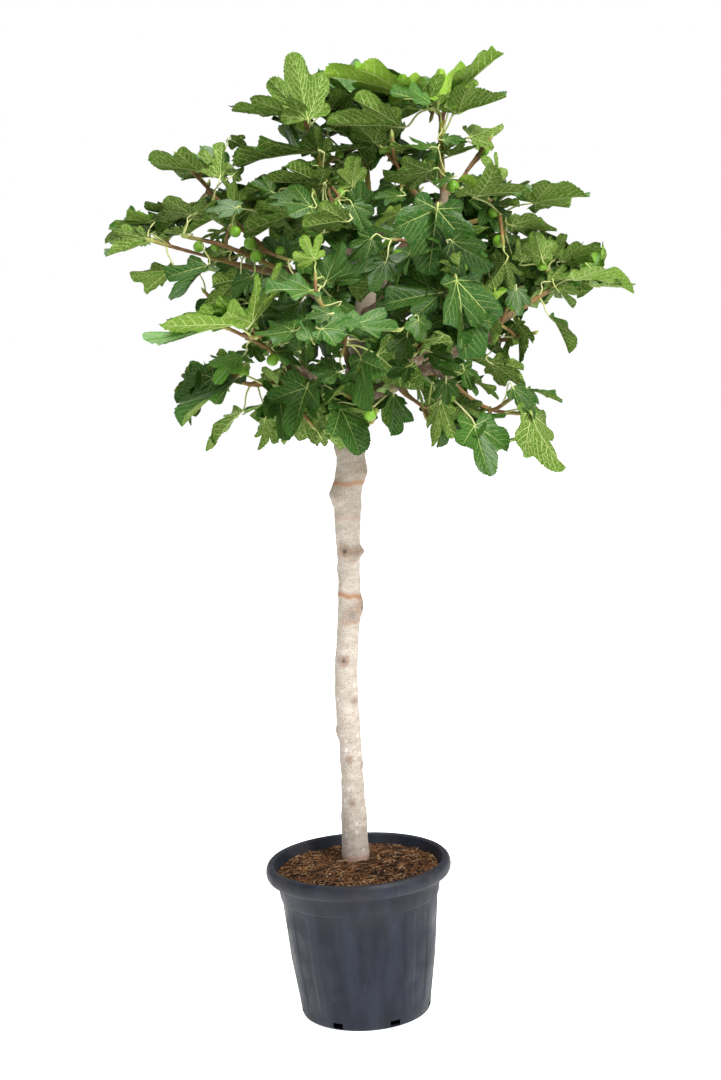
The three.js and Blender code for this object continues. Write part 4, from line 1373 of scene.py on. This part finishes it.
ownFigs = [
    (196, 254, -0.06), (216, 248, -0.06), (236, 232, -0.1), (246, 235, -0.1), (317, 161, 0.1),
    (336, 208, -0.15), (359, 184, 0), (388, 236, -0.15), (368, 240, -0.15), (493, 212, -0.08),
    (494, 249, -0.12), (528, 305, -0.1), (302, 376, -0.22), (270, 375, -0.2), (246, 375, -0.16),
    (293, 358, -0.2), (470, 413, -0.18), (283, 243, -0.12), (256, 255, -0.12), (463, 203, -0.1),
    (534, 259, -0.06),
]


def nearestWood(place, want):  # about so far off: how far it misses that, place, direction, radius
    best = None
    for line, radii in twigs + [limbs[name] for name in boughNames]:
        off = np.linalg.norm(line - place, axis=1)
        k = int(np.argmin(np.abs(off - want) + 0.5 * np.clip(off - want, 0, None)))
        miss = abs(off[k] - want)
        if best is None or miss < best[0]:
            ahead = unit(line[min(k + 1, len(line) - 1)] - line[max(k - 1, 0)])
            best = (miss, line[k], ahead, radii[k])
    return best


def growCrown():  # the shoots at the end of each bough, and where their leaves start
    nodes = []
    tips = [spot(*tip) for tip in shootTips]
    owner = [int(np.argmin([np.linalg.norm((tip - middle) / half) for middle, half in massShapes]))
             for tip in tips]
    for number, boughName in enumerate(boughNames):
        rng = np.random.default_rng(tree["seed"] * 1000 + number)
        middle, half = massShapes[number]
        line, radii = limbs[boughName]
        heading = unit(line[-1] - line[-4])
        outward = unit((middle - crownMiddle) * [1, 1, 0.8])
        total = max(7, int(round(tree["leavesPerMass"] * (half[0] * half[1] / 0.0165) ** 0.6)))
        goals = [tip for tip, own in zip(tips, owner) if own == number]
        shoots = max(len(goals), 2 if total < 11 else 3)
        sunny = (middle[2] - crownLow[2]) / (crownHigh[2] - crownLow[2])
        for k in range(shoots):
            turn = (k - (shoots - 1) / 2) * 2.1 + rng.normal(0, 0.3)
            flat = spin(unit(outward * [1, 1, 0] + 1e-6), up, turn)
            goal = middle + flat * half * 0.45 + up * half[2] * rng.uniform(-0.1, 0.5)
            if k < len(goals):
                goal = goals[k]
            start = line[-1 - min(3 * k, len(line) - 2)]
            young = rng.random() < 0.1 + 0.25 * sunny
            tints = tintSets[1] if young else tintSets[int(rng.choice([0, 2, 3]))]
            shoot = growTwig(start, heading, goal, min(0.0062, radii[-1] * (0.62 if k == 0 else 0.55)))
            count = total // shoots + (1 if k < total % shoots else 0)
            nodes += leafNodes(shoot, count, massShapes[number], tints, rng)
    return nodes


fit = {
    "turn": 12, "cups": (0.08, 0.28, 0.50), "fans": (0.60, 0.78, 0.98), "tilts": (-0.45, 0.0, 0.45),
    "tested": 40, "lobeWeights": [1.0, 0.6, 0.6],  # the middle lobe and the two beside it
}


def fitLeaf(pose, foot, depth, lobes, face):  # the pose whose lobes show at these spots, clear of the sky
    made = blades[pose["kind"]]
    base, shown = spot(*foot, depth), np.array(lobes, float)
    reach = np.linalg.norm(shown[0] - foot)
    toCamera = unit(np.array(camera["place"]) - base)
    perPixel = (depth - camera["place"][1]) / camera["focal"]
    third = blade["perSpan"] // 12
    tries = []
    for cup in fit["cups"]:
        for fan in fit["fans"]:
            bent = dict(pose, cup=cup, fan=fan, length=1.0)
            rim = bendBlade(made, bent, 12)
            end = rim[3 * third]
            rise = math.atan2(end[2], end[1])
            for tilt in fit["tilts"]:
                goal = spot(*shown[0], depth + tilt * reach * perPixel)
                ahead, size = unit(goal - base), np.linalg.norm(goal - base) / np.linalg.norm(end)
                across = unit(np.cross(ahead, [0.0, -1.0, 0.001]))
                for turn in range(0, 360, fit["turn"]):
                    side = spin(across, ahead, math.radians(turn))
                    flat = np.cross(side, ahead)
                    normal = ahead * math.sin(rise) + flat * math.cos(rise)
                    if (np.dot(normal, toCamera) > 0) != (face == "top"):
                        continue
                    leaf = dict(bent, length=size, base=base, normal=normal, side=side,
                                along=ahead * math.cos(rise) - flat * math.sin(rise))
                    ends = inFrame(toWorld(leaf, rim[[3 * third, 2 * third, 4 * third]] * size))
                    misses = [(np.linalg.norm(ends[order] - shown, axis=1) * fit["lobeWeights"]).sum()
                              for order in ([0, 1, 2], [0, 2, 1])]
                    cost = min(misses) / reach - 0.10 * normal[2] + 0.2 * abs(cup - 0.25) + 0.1 * abs(tilt)
                    tries.append((cost, turn, cup, fan, tilt, leaf, rim))
    tries.sort(key=lambda item: item[:5])

    def withSky(item):
        return item[0] + 0.04 * skyHidden(toWorld(item[5], item[6] * item[5]["length"])), *item[1:5]

    return min(tries[:fit["tested"]], key=withSky)[5]


def placeOwnLeaves(nodes):  # each takes the place of the nearest leaf of the rule
    rng = np.random.default_rng(tree["seed"] + 77)
    for x, y, depth, tipX, tipY, leftX, leftY, rightX, rightY, face, *look in ownLeaves:
        kind, tint = look or (9, "deep")
        pose = newPose(1.0, 0.6, rng, tint, kind)
        pose.update(twist=pose["twist"] * 0.5, droop=pose["droop"] * 0.6 + 0.15)
        leaf = fitLeaf(pose, (x, y), depth, [(tipX, tipY), (leftX, leftY), (rightX, rightY)], face)
        base, wanted = leaf["base"], 0.45 * leaf["length"] + 0.01
        miss, node, ahead, thick = nearestWood(base, wanted)
        if miss > 0.04:  # too far from any wood: a new twig
            goal = base + unit(node - base) * wanted
            radius = max(0.0038, min(0.005, thick * 0.7))
            growTwig(node, unit(unit(goal - node) + ahead * 0.3), goal, radius, 0.0036)
            node = goal
        keepLeaf(dict(leaf, node=node, heading=unit(base - node), fine=True))
        keepClear(bladeMiddles[-1], 0.42 * leaves[-1]["length"])
        away = [np.linalg.norm(other["node"] - node) + (other["age"] < 0.25) for other in nodes]
        if nodes and min(away) < 0.12:
            nodes.pop(int(np.argmin(away)))


def placeRuleLeaves(nodes):
    rng = np.random.default_rng(tree["seed"] + 3)
    chance = (tree["figs"] - len(ownFigs)) / max(len(nodes) * 0.8, 1)
    for item in nodes:
        addLeaf(item, rng)
        if item["age"] > 0.2 and rng.random() < chance:
            away = unit((item["node"] - crownMiddle) * [1, 1, 0.3])
            figSpots.append((item["node"], unit(away * 0.6 + item["axis"] * 0.3 + rng.normal(0, 0.5, 3))))


def placeOwnFigs():
    for figSpot in ownFigs:
        place = spot(*figSpot)
        node = nearestWood(place, 0.015)[1]
        figSpots.append((node, unit(place - node)))
        keepClear(place, 0.03)


def inHead(places):  # how deep each place lies within the blended masses
    return sum(np.exp(-1.1 * (((places - middle) / half) ** 2).sum(axis=1)) for middle, half in massShapes)


def allClear(places):  # neither in the open sky nor in front of what has a place of its own
    seen, kept = inFrame(places), np.array(keptClear)
    near = np.linalg.norm(seen[:, None] - kept[None, :, :2], axis=2) < kept[None, :, 2]
    return ~openAt(seen, 6) & ~(near & (kept[None, :, 3] > places[:, 1:2] - 0.02)).any(axis=1)


def fillGaps():  # more shoots where the head is still empty
    rng = np.random.default_rng(tree["seed"] + 21)
    tried, half = [], np.full(3, 0.12)
    for _ in range(habit["fillTries"]):
        if len(leaves) >= tree["leaves"]:
            break
        places = rng.uniform(crownLow, crownHigh, (habit["fillPlaces"], 3))
        places = places[(inHead(places) > habit["fillDepth"]) & allClear(places)]
        gaps = np.linalg.norm(places[:, None] - np.array(bladeMiddles + tried)[None], axis=2).min(axis=1)
        goal = places[int(np.argmax(gaps))]
        tried.append(goal)
        _, node, ahead, thick = nearestWood(goal, 0.08)
        tip = goal + unit(node - goal) * 0.05
        radius = max(0.0042, min(0.0055, thick * 0.7))
        shoot = growTwig(node, unit(unit(tip - node) + ahead * 0.5), tip, radius)
        if skyHidden(shoot) + keptHidden(shoot) > habit["mostShown"]:
            twigs.pop()
            continue
        # the fill leaves inside the head take mostly the deep tint, partly as painted shade
        for item in leafNodes(shoot, habit["fillLeaves"], (goal, half), ("mid", "deep", "deep"), rng):
            addLeaf(dict(item, age=0.4 + 0.6 * item["age"]), rng)


def trimTwigs():  # a shoot ends where its last leaf, fig or side shoot stands
    for k in reversed(range(len(twigs))):
        line, radii = twigs[k]
        held = [leaf["node"] for leaf in leaves] + [node for node, _ in figSpots]
        held += [other[0][0] for n, other in enumerate(twigs) if n != k]
        gaps = np.linalg.norm(line[:, None] - np.array(held)[None], axis=2).min(axis=1)
        used = np.flatnonzero(gaps < 0.008)
        if len(used) == 0 or used[-1] < 2:
            twigs.pop(k)
        elif used[-1] + 2 < len(line):
            twigs[k] = (line[:used[-1] + 2], radii[:used[-1] + 2])


shootNodes = growCrown()
placeOwnLeaves(shootNodes)
placeOwnFigs()
placeRuleLeaves(shootNodes)
fillGaps()
trimTwigs()
print("grown:", len(leaves), "leaves on", len(twigs), "shoots, with", len(figSpots), "figs")

leafTints = ("deep", "mid", "fresh", "young")
facesPerPiece = 170000


def makeLeaves():  # blades and veins apart, in pieces of a fair size
    for tint in leafTints:
        shown = [leafParts(leaf) for leaf in leaves if leaf["tint"] == tint]
        if not shown:
            continue
        shells, veins = zip(*shown)
        faceCount = max(sum(len(part[1]) for part in parts) for parts in (shells, veins))
        pieces = math.ceil(faceCount / facesPerPiece)
        for number in range(pieces):
            for label, parts, materials in (("leaves", shells, leafMaterials),
                                            ("veins", veins, veinMaterials)):
                name = f"{label}_{tint}{number + 1}"
                finishParts(name, parts[number::pieces], materials(tint), "foliage")
    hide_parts(*massNames)


makeLeaves()

twigLook = {
    "sides": 9, "ringEvery": 0.022, "ringRise": 0.16,
    "ends": (0.62, 0.86),  # how far up a shoot the brown and the olive bark end
    "barks": {  # two colours, roughness, flecks
        "twigBrown": ((0.18, 0.092, 0.034), (0.28, 0.155, 0.056), 0.65, (0.42, 0.32, 0.20)),
        "twigOlive": ((0.26, 0.215, 0.055), (0.36, 0.30, 0.085), 0.6, (0.46, 0.42, 0.2)),
        "twigGreen": ((0.30, 0.36, 0.075), (0.42, 0.48, 0.12), 0.5),
    },
}


def stalkMaterials(looks):
    return [stalkMaterial(name, *look) for name, look in looks.items()]


def makeTwigs():
    parts, sides = [], twigLook["sides"]
    for k, (line, radii) in enumerate(twigs):
        fine = alongLine(line, len(line) * 2)
        even = np.linspace(0, 1, len(fine))
        radius = np.interp(even, np.linspace(0, 1, len(line)), radii)
        beat = (even * lengthOf(line) / twigLook["ringEvery"] + k * 0.3) % 1 - 0.5
        radius = radius * (1 + twigLook["ringRise"] * np.exp(-beat ** 2 / 0.012))
        points, faces = tube(fine, radius, sides)
        step = np.minimum(faces.min(axis=1) // sides, len(fine) - 1) / len(fine)
        step = np.where(faces.max(axis=1) == len(points) - 2, 0, step)
        parts.append((points, faces, np.searchsorted(twigLook["ends"], step, side="right")))
    finishParts("twigs", parts, stalkMaterials(twigLook["barks"]), "bough")


stalkLook = {
    "sides": 6, "thickness": (0.0012, 0.0080),  # at least, and what is added for each metre of blade
    "profile": [1.45, 1.12, 1.0, 0.95, 0.92, 0.9, 0.95, 0.9, 0.5],
    "sag": (0.02, 0.12),  # share of the length, of a young and of a full leaf
    "skins": {"stalkGreen": ((0.46, 0.54, 0.15), (0.56, 0.63, 0.22), 0.45),
              "stalkPale": ((0.58, 0.62, 0.24), (0.70, 0.74, 0.34), 0.45)},
}


def makeStalks():
    parts = []
    least, added = stalkLook["thickness"]
    for k, leaf in enumerate(leaves):
        node, base, along, normal = leaf["node"], leaf["base"], leaf["along"], leaf["normal"]
        sag = mix(*stalkLook["sag"], leaf["age"]) * np.linalg.norm(base - node)
        line = alongLine([node, node * 0.55 + base * 0.45 + up * sag, base - along * 0.012 + normal * 0.002,
                          base + along * 0.01 - normal * 0.001], len(stalkLook["profile"]))
        radii = (least + added * leaf["length"]) * np.array(stalkLook["profile"])
        parts.append((*tube(line, radii, stalkLook["sides"]), k % 2))
    finishParts("leafStalks", parts, stalkMaterials(stalkLook["skins"]), "foliage")


budShape = {
    "span": (-0.003, 0.010), "radius": 0.0036, "profile": [0.9, 1.1, 1.0, 0.7, 0.38, 0.1], "sides": 7,
    "skin": {"budGreen": ((0.30, 0.36, 0.10), (0.42, 0.48, 0.14), 0.5)},
}


def makeBuds():  # one at the tip of each shoot
    parts = []
    radii = budShape["radius"] * np.array(budShape["profile"])
    for twig, _ in twigs:
        tip, heading = twig[-1], unit(unit(twig[-1] - twig[-2]) + up * 0.4)
        line = np.array([tip + heading * s for s in np.linspace(*budShape["span"], len(radii))])
        parts.append((*tube(line, radii, budShape["sides"]), 0))
    finishParts("buds", parts, stalkMaterials(budShape["skin"]), "foliage")


figShape = {
    "size": (0.0095, 0.0135), "sides": 16, "steps": 16, "ribs": (6, 0.02),  # how many and how high
    "profile": [(-0.2, 0.16), (0.1, 0.22), (0.42, 0.52), (0.85, 0.86), (1.3, 1.0), (1.75, 0.93), (2.1, 0.68),
                (2.28, 0.34), (2.30, 0.12), (2.36, 0.05)],
    "skin": ((0.13, 0.33, 0.018), (0.25, 0.48, 0.035)), "flecks": (0.50, 0.62, 0.26),
}


def figMaterial():
    material, nodes, shader = newMaterial("figSkin", 0.42, 0.45)
    patches = addPatches(nodes, *[rgba(colour) for colour in figShape["skin"]], 70.0, 0.5)
    colour, _ = addFlecks(nodes, patches["Colour"], figShape["flecks"], 0.5, 420.0, 0.22, 0.5)
    feed(shader["Base Color"], colour)
    addBump(nodes, shader, patches["Mask"], 0.2, 0.001)
    return material


def makeFigs():
    rng = np.random.default_rng(tree["seed"] + 5)
    parts, sides, steps = [], figShape["sides"], figShape["steps"]
    ribCount, ribRise = figShape["ribs"]
    ribs = 1 + ribRise * np.cos(roundAngles(sides) * ribCount)[None] * np.ones((steps, 1))
    runs, widths = np.array(figShape["profile"]).T
    for node, heading in figSpots:
        size = rng.uniform(*figShape["size"])
        droop = unit(heading - up * rng.uniform(0.0, 0.5))
        line = np.array([node + (heading * (1 - s / 3) + droop * s / 3) * s * size for s in runs])
        fine = alongLine(np.column_stack([line, size * widths]), steps)
        parts.append((*tube(fine[:, :3], fine[:, 3], sides, ribs), 0))
    finishParts("figs", parts, [figMaterial()], "foliage")


makeTwigs()
makeStalks()
makeBuds()
makeFigs()

potShape = {  # radius and height: up the outside of the wall, then over the lip and down inside
    "outside": [(0.0, 0.0), (0.120, 0.0), (0.1395, 0.0), (0.1445, 0.0025), (0.1468, 0.008), (0.1482, 0.020),
                (0.1498, 0.034), (0.1632, 0.127), (0.1757, 0.2655), (0.1764, 0.2715), (0.1790, 0.2740),
                (0.1798, 0.2765), (0.1838, 0.3080)],
    "lip": [(0.1925, 0.343), (0.2000, 0.344), (0.2008, 0.334), (0.1990, 0.3215), (0.1996, 0.3182),
            (0.2018, 0.3178), (0.2048, 0.3202), (0.2076, 0.3255), (0.2088, 0.3320), (0.2082, 0.3395),
            (0.2058, 0.3465), (0.2015, 0.3510), (0.1975, 0.3520), (0.1935, 0.3512), (0.1905, 0.3485),
            (0.1895, 0.345)],
    "inside": [(0.1790, 0.310), (0.1715, 0.270), (0.1445, 0.0085), (0.138, 0.005), (0.0, 0.005)],
    "outsideStep": 0.012, "insideStep": 0.03,
    "sides": 252, "panels": 14, "bedShare": 0.70, "bedDepth": 0.0017, "bed": (0.034, 0.261),
    "bedSoftness": 0.006, "wobble": 0.0012, "sharpFrom": 32,  # degrees
    "drains": 7, "drainFirst": -64.7, "drainSize": (0.024, 0.014), "drainBottom": 0.0045,
    "drainReach": (0.132, 0.165),
}
potLook = {
    "slate": (0.0200, 0.0245, 0.041), "darker": (0.0105, 0.0128, 0.0225), "dust": (0.085, 0.078, 0.072),
    "scuff": (0.07, 0.08, 0.11), "dustFrom": (0.22, 0.32), "dustShare": 0.30, "roughness": (0.42, 0.62),
}


def denser(profile, step):
    out = [profile[0]]
    for a, b in zip(profile, profile[1:]):
        parts = max(1, int(math.dist(a, b) / step))
        out += [tuple(mix(np.array(a), np.array(b), (k + 1) / parts)) for k in range(parts)]
    return out


def potMaterial():
    material, nodes, shader = newMaterial("potPlastic", 0.42, 0.26)
    streaks = addPatches(nodes, rgba(potLook["darker"]), rgba(potLook["slate"], 1.15), 26.0, 0.7, 0.22)
    dust = addGroup(nodes, mottle, Scale=13.0, Contrast=1.6, Stretch=1.5)["Mask"]
    dusty = times(nodes, times(nodes, dust, heightMask(nodes, *potLook["dustFrom"])), potLook["dustShare"])
    colour = mixColours(nodes, dusty, streaks["Colour"], rgba(potLook["dust"]))
    colour, _ = addFlecks(nodes, colour, potLook["scuff"], 0.35, 70.0, 0.30, 0.10, 0.5)
    feed(shader["Base Color"], colour)
    low, high = potLook["roughness"]
    rough = addNode(nodes, "ShaderNodeMapRange", Value=dust, To_Min=low, To_Max=high)
    feed(shader["Roughness"], rough.outputs[0])
    addBump(nodes, shader, streaks["Mask"], 0.10, 0.0008)
    return material


def makePot():
    shape, sides = potShape, potShape["sides"]
    outside = denser(shape["outside"], shape["outsideStep"])
    profile = outside + shape["lip"] + denser(shape["inside"], shape["insideStep"])
    radius, height = np.array(profile).T
    angle = roundAngles(sides)
    cycle = (angle / (2 * math.pi) * shape["panels"]) % 1
    edge = np.minimum(cycle, 1 - cycle)  # 0 in the middle of a rib
    ribHalf = (1 - shape["bedShare"]) / 2
    bedAcross = smoothStep(ribHalf, ribHalf + 0.06, edge)
    low, high = shape["bed"]
    soft = shape["bedSoftness"]
    bedAlong = smoothStep(low, low + soft, height) * smoothStep(high + soft, high, height)
    bedAlong = bedAlong * (np.arange(len(profile)) < len(outside))
    r = radius[:, None] - shape["bedDepth"] * bedAlong[:, None] * bedAcross[None]
    wobble = 1 + shape["wobble"] * np.cos(angle * 2 + 0.6)[None] * (height / height.max())[:, None]
    x, y = r * wobble * np.cos(angle), r * wobble * np.sin(angle)
    points = np.stack([x, y, np.broadcast_to(height[:, None], x.shape)], 2).reshape(-1, 3)
    under, floor = len(points), len(points) + 1
    points = np.vstack([points, [[0, 0, 0], [0, 0, shape["inside"][-1][1]]]])
    last = len(profile) - 2
    faces = np.concatenate([ringFaces(last, sides, sides), capFaces(sides, sides, under)[:, [1, 0, 2]],
                            capFaces(last * sides, sides, floor)])
    pot = makePiece("potWall", points, faces, [potMaterial()])
    cutDrains(pot)
    finishPiece(pot, "pot", "pot")


def cutDrains(pot):
    shape = potShape
    wide, tall = shape["drainSize"]
    box = [(0, 1, 3), (0, 3, 2), (4, 6, 7), (4, 7, 5), (0, 4, 5), (0, 5, 1),  # its triangles, by corner
           (2, 3, 7), (2, 7, 6), (0, 2, 6), (0, 6, 4), (1, 5, 7), (1, 7, 3)]
    parts = []
    for k in range(shape["drains"]):
        turn = math.radians(shape["drainFirst"] + 360 / shape["drains"] * k)
        out = np.array([math.cos(turn), math.sin(turn), 0])
        side = np.array([-math.sin(turn), math.cos(turn), 0])
        corners = [out * x + side * y + up * z for x in shape["drainReach"] for y in (-wide / 2, wide / 2)
                   for z in (shape["drainBottom"], shape["drainBottom"] + tall)]
        parts.append((np.array(corners), box, 0))
    points, faces, _ = joinParts(parts)
    cutter = makePiece("drainCutter", points, faces, [])
    change = pot.modifiers.new("drains", "BOOLEAN")
    change.operation, change.object, change.solver = "DIFFERENCE", cutter, "EXACT"
    shown = bpy.context.evaluated_depsgraph_get()
    cut = bpy.data.meshes.new_from_object(pot.evaluated_get(shown))
    pot.modifiers.clear()
    pot.data = cut
    pot.data.set_sharp_from_angle(angle=math.radians(shape["sharpFrom"]))
    bpy.data.objects.remove(cutter)


makePot()

soilShape = {
    "edge": 0.1838, "edgeHeight": 0.3275, "middleHeight": 0.3385, "rings": 74, "sides": 220, "depth": 0.012,
    "lumps": ((0.045, 0.0032, 3), (0.012, 0.0026, 3), (0.004, 0.0012, 2)),  # size, height, octaves
    "fibres": 1500, "fibreLength": (0.006, 0.026), "fibreRadius": (0.0004, 0.0011),
    "crumbs": 900, "crumbSize": (0.0015, 0.0045), "crumbProfile": [0.35, 0.6, 0.62, 0.3],
}
soilLook = {
    "dark": (0.018, 0.009, 0.005), "brown": (0.085, 0.038, 0.018), "rust": (0.22, 0.10, 0.045),
    "fibres": {"fibreRust": ((0.16, 0.062, 0.022), (0.32, 0.145, 0.055), 0.9),
               "fibreStraw": ((0.30, 0.18, 0.09), (0.48, 0.32, 0.18), 0.9),
               "fibreDark": ((0.016, 0.008, 0.005), (0.055, 0.026, 0.014), 0.9)},
    # the shares of rust, straw and dark in the bright clumps and in the dark hollows, whose extra dark
    # fibres are painted shade
    "clumps": [.60, .26, .14], "shadedHollows": [.34, .12, .54],
}


def soilHeight(x, y):
    places = np.stack([x, y, 0 * x], 1)
    away = np.hypot(x, y) / soilShape["edge"]
    lumps = sum(waves(places, size, 41 + k, octaves) * height
                for k, (size, height, octaves) in enumerate(soilShape["lumps"]))
    slope = mix(soilShape["middleHeight"], soilShape["edgeHeight"], smoothStep(0.35, 1.0, away))
    return slope + lumps * smoothStep(1.02, 0.9, away)


def soilMaterial():
    material, nodes, shader = newMaterial("soil", 0.95, 0.15)
    patches = addPatches(nodes, rgba(soilLook["dark"]), rgba(soilLook["brown"]), 70.0, 1.1)
    broad = times(nodes, addGroup(nodes, mottle, Scale=16.0, Contrast=1.2)["Mask"], 0.35)
    colour = mixColours(nodes, broad, patches["Colour"], rgba(soilLook["rust"]))
    colour, _ = addFlecks(nodes, colour, soilLook["rust"], 0.5, 300.0, 0.4, 0.35)
    feed(shader["Base Color"], colour)
    addBump(nodes, shader, patches["Mask"], 0.9, 0.004)
    return material


def makeSoil():
    rings, sides = soilShape["rings"], soilShape["sides"]
    reach = np.linspace(0, 1, rings)[1:, None] ** 0.85 * soilShape["edge"]
    angle = roundAngles(sides)
    x, y = [np.concatenate([[0], (reach * turn).ravel()]) for turn in (np.cos(angle), np.sin(angle))]
    surface = np.stack([x, y, soilHeight(x, y)], 1)
    lowRing = surface[-sides:] * [0.985, 0.985, 1] - up * soilShape["depth"]
    points = np.vstack([surface, lowRing, [[0, 0, soilShape["edgeHeight"] - soilShape["depth"]]]])
    low, bottom = 1 + (rings - 1) * sides, len(points) - 1
    faces = np.concatenate([capFaces(1, sides, 0), ringFaces(rings, sides, 1)[:, ::-1],
                            capFaces(low, sides, bottom)[:, ::-1]])
    finishPiece(makePiece("soilTop", points, faces, [soilMaterial()]), "soil", "soil")


# the patches with more dark fibres are painted shade, standing in for hollows in the soil
def fibreColour(x, y, rng):  # rust, straw or dark: the soil has bright clumps and dark hollows
    bright = waves(np.array([[x, y, 0.0]]), 0.04, 44)[0] > 0
    return int(rng.choice([0, 1, 2], p=soilLook["clumps" if bright else "shadedHollows"]))


def soilSpot(within, rng):  # anywhere on the soil
    away, turn = math.sqrt(rng.random()) * within, rng.uniform(0, 2 * math.pi)
    return np.array([away * math.cos(turn), away * math.sin(turn)])


def soilBits():
    rng = np.random.default_rng(tree["seed"] + 9)
    trunkFoot, trunkRadius = limbs["trunk"][0][0], limbs["trunk"][1][0]
    parts = []
    while len(parts) < soilShape["fibres"]:
        place = soilSpot(0.180, rng)
        if math.hypot(*(place - trunkFoot[:2])) < trunkRadius + 0.002:
            continue
        length, bearing = rng.uniform(*soilShape["fibreLength"]), rng.uniform(0, 2 * math.pi)
        ahead = np.array([math.cos(bearing), math.sin(bearing), 0])
        curl = np.array([-ahead[1], ahead[0], 0]) * rng.normal(0, 0.3)
        t = np.linspace(-0.5, 0.5, 4)
        line = np.array([*place, 0]) + length * (ahead * t[:, None] + curl * (t ** 2)[:, None])
        line = line[np.hypot(line[:, 0], line[:, 1]) < 0.1855]
        if len(line) < 3:
            continue
        rise = soilHeight(line[:, 0], line[:, 1]) + 0.0006 + np.abs(rng.normal(0, 0.0012))
        line[:, 2] = rise + np.linspace(0, rng.uniform(0, 0.003), len(line))
        radii = np.full(len(line), rng.uniform(*soilShape["fibreRadius"]))
        parts.append((*tube(line, radii, 3), fibreColour(*place, rng)))
    for _ in range(soilShape["crumbs"]):
        place = soilSpot(0.181, rng)
        if math.hypot(*(place - trunkFoot[:2])) < trunkRadius + 0.003:
            continue
        size = rng.uniform(*soilShape["crumbSize"])
        middle = np.array([*place, soilHeight(place[:1], place[1:])[0] + size * 0.2])
        line = middle + np.outer(np.linspace(-0.6, 0.6, 4), unit(rng.normal(0, 1, 3))) * size
        radii = size * np.array(soilShape["crumbProfile"])
        parts.append((*tube(line, radii, 5, 1 + rng.normal(0, 0.12, (4, 5))), fibreColour(*place, rng)))
    finishParts("soilFibres", parts, stalkMaterials(soilLook["fibres"]), "soil")


makeSoil()
soilBits()

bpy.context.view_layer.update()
shownPieces = [o for o in bpy.data.objects if o.type == "MESH" and o.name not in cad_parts]
print("triangles in all:", sum(len(o.data.polygons) for o in shownPieces))
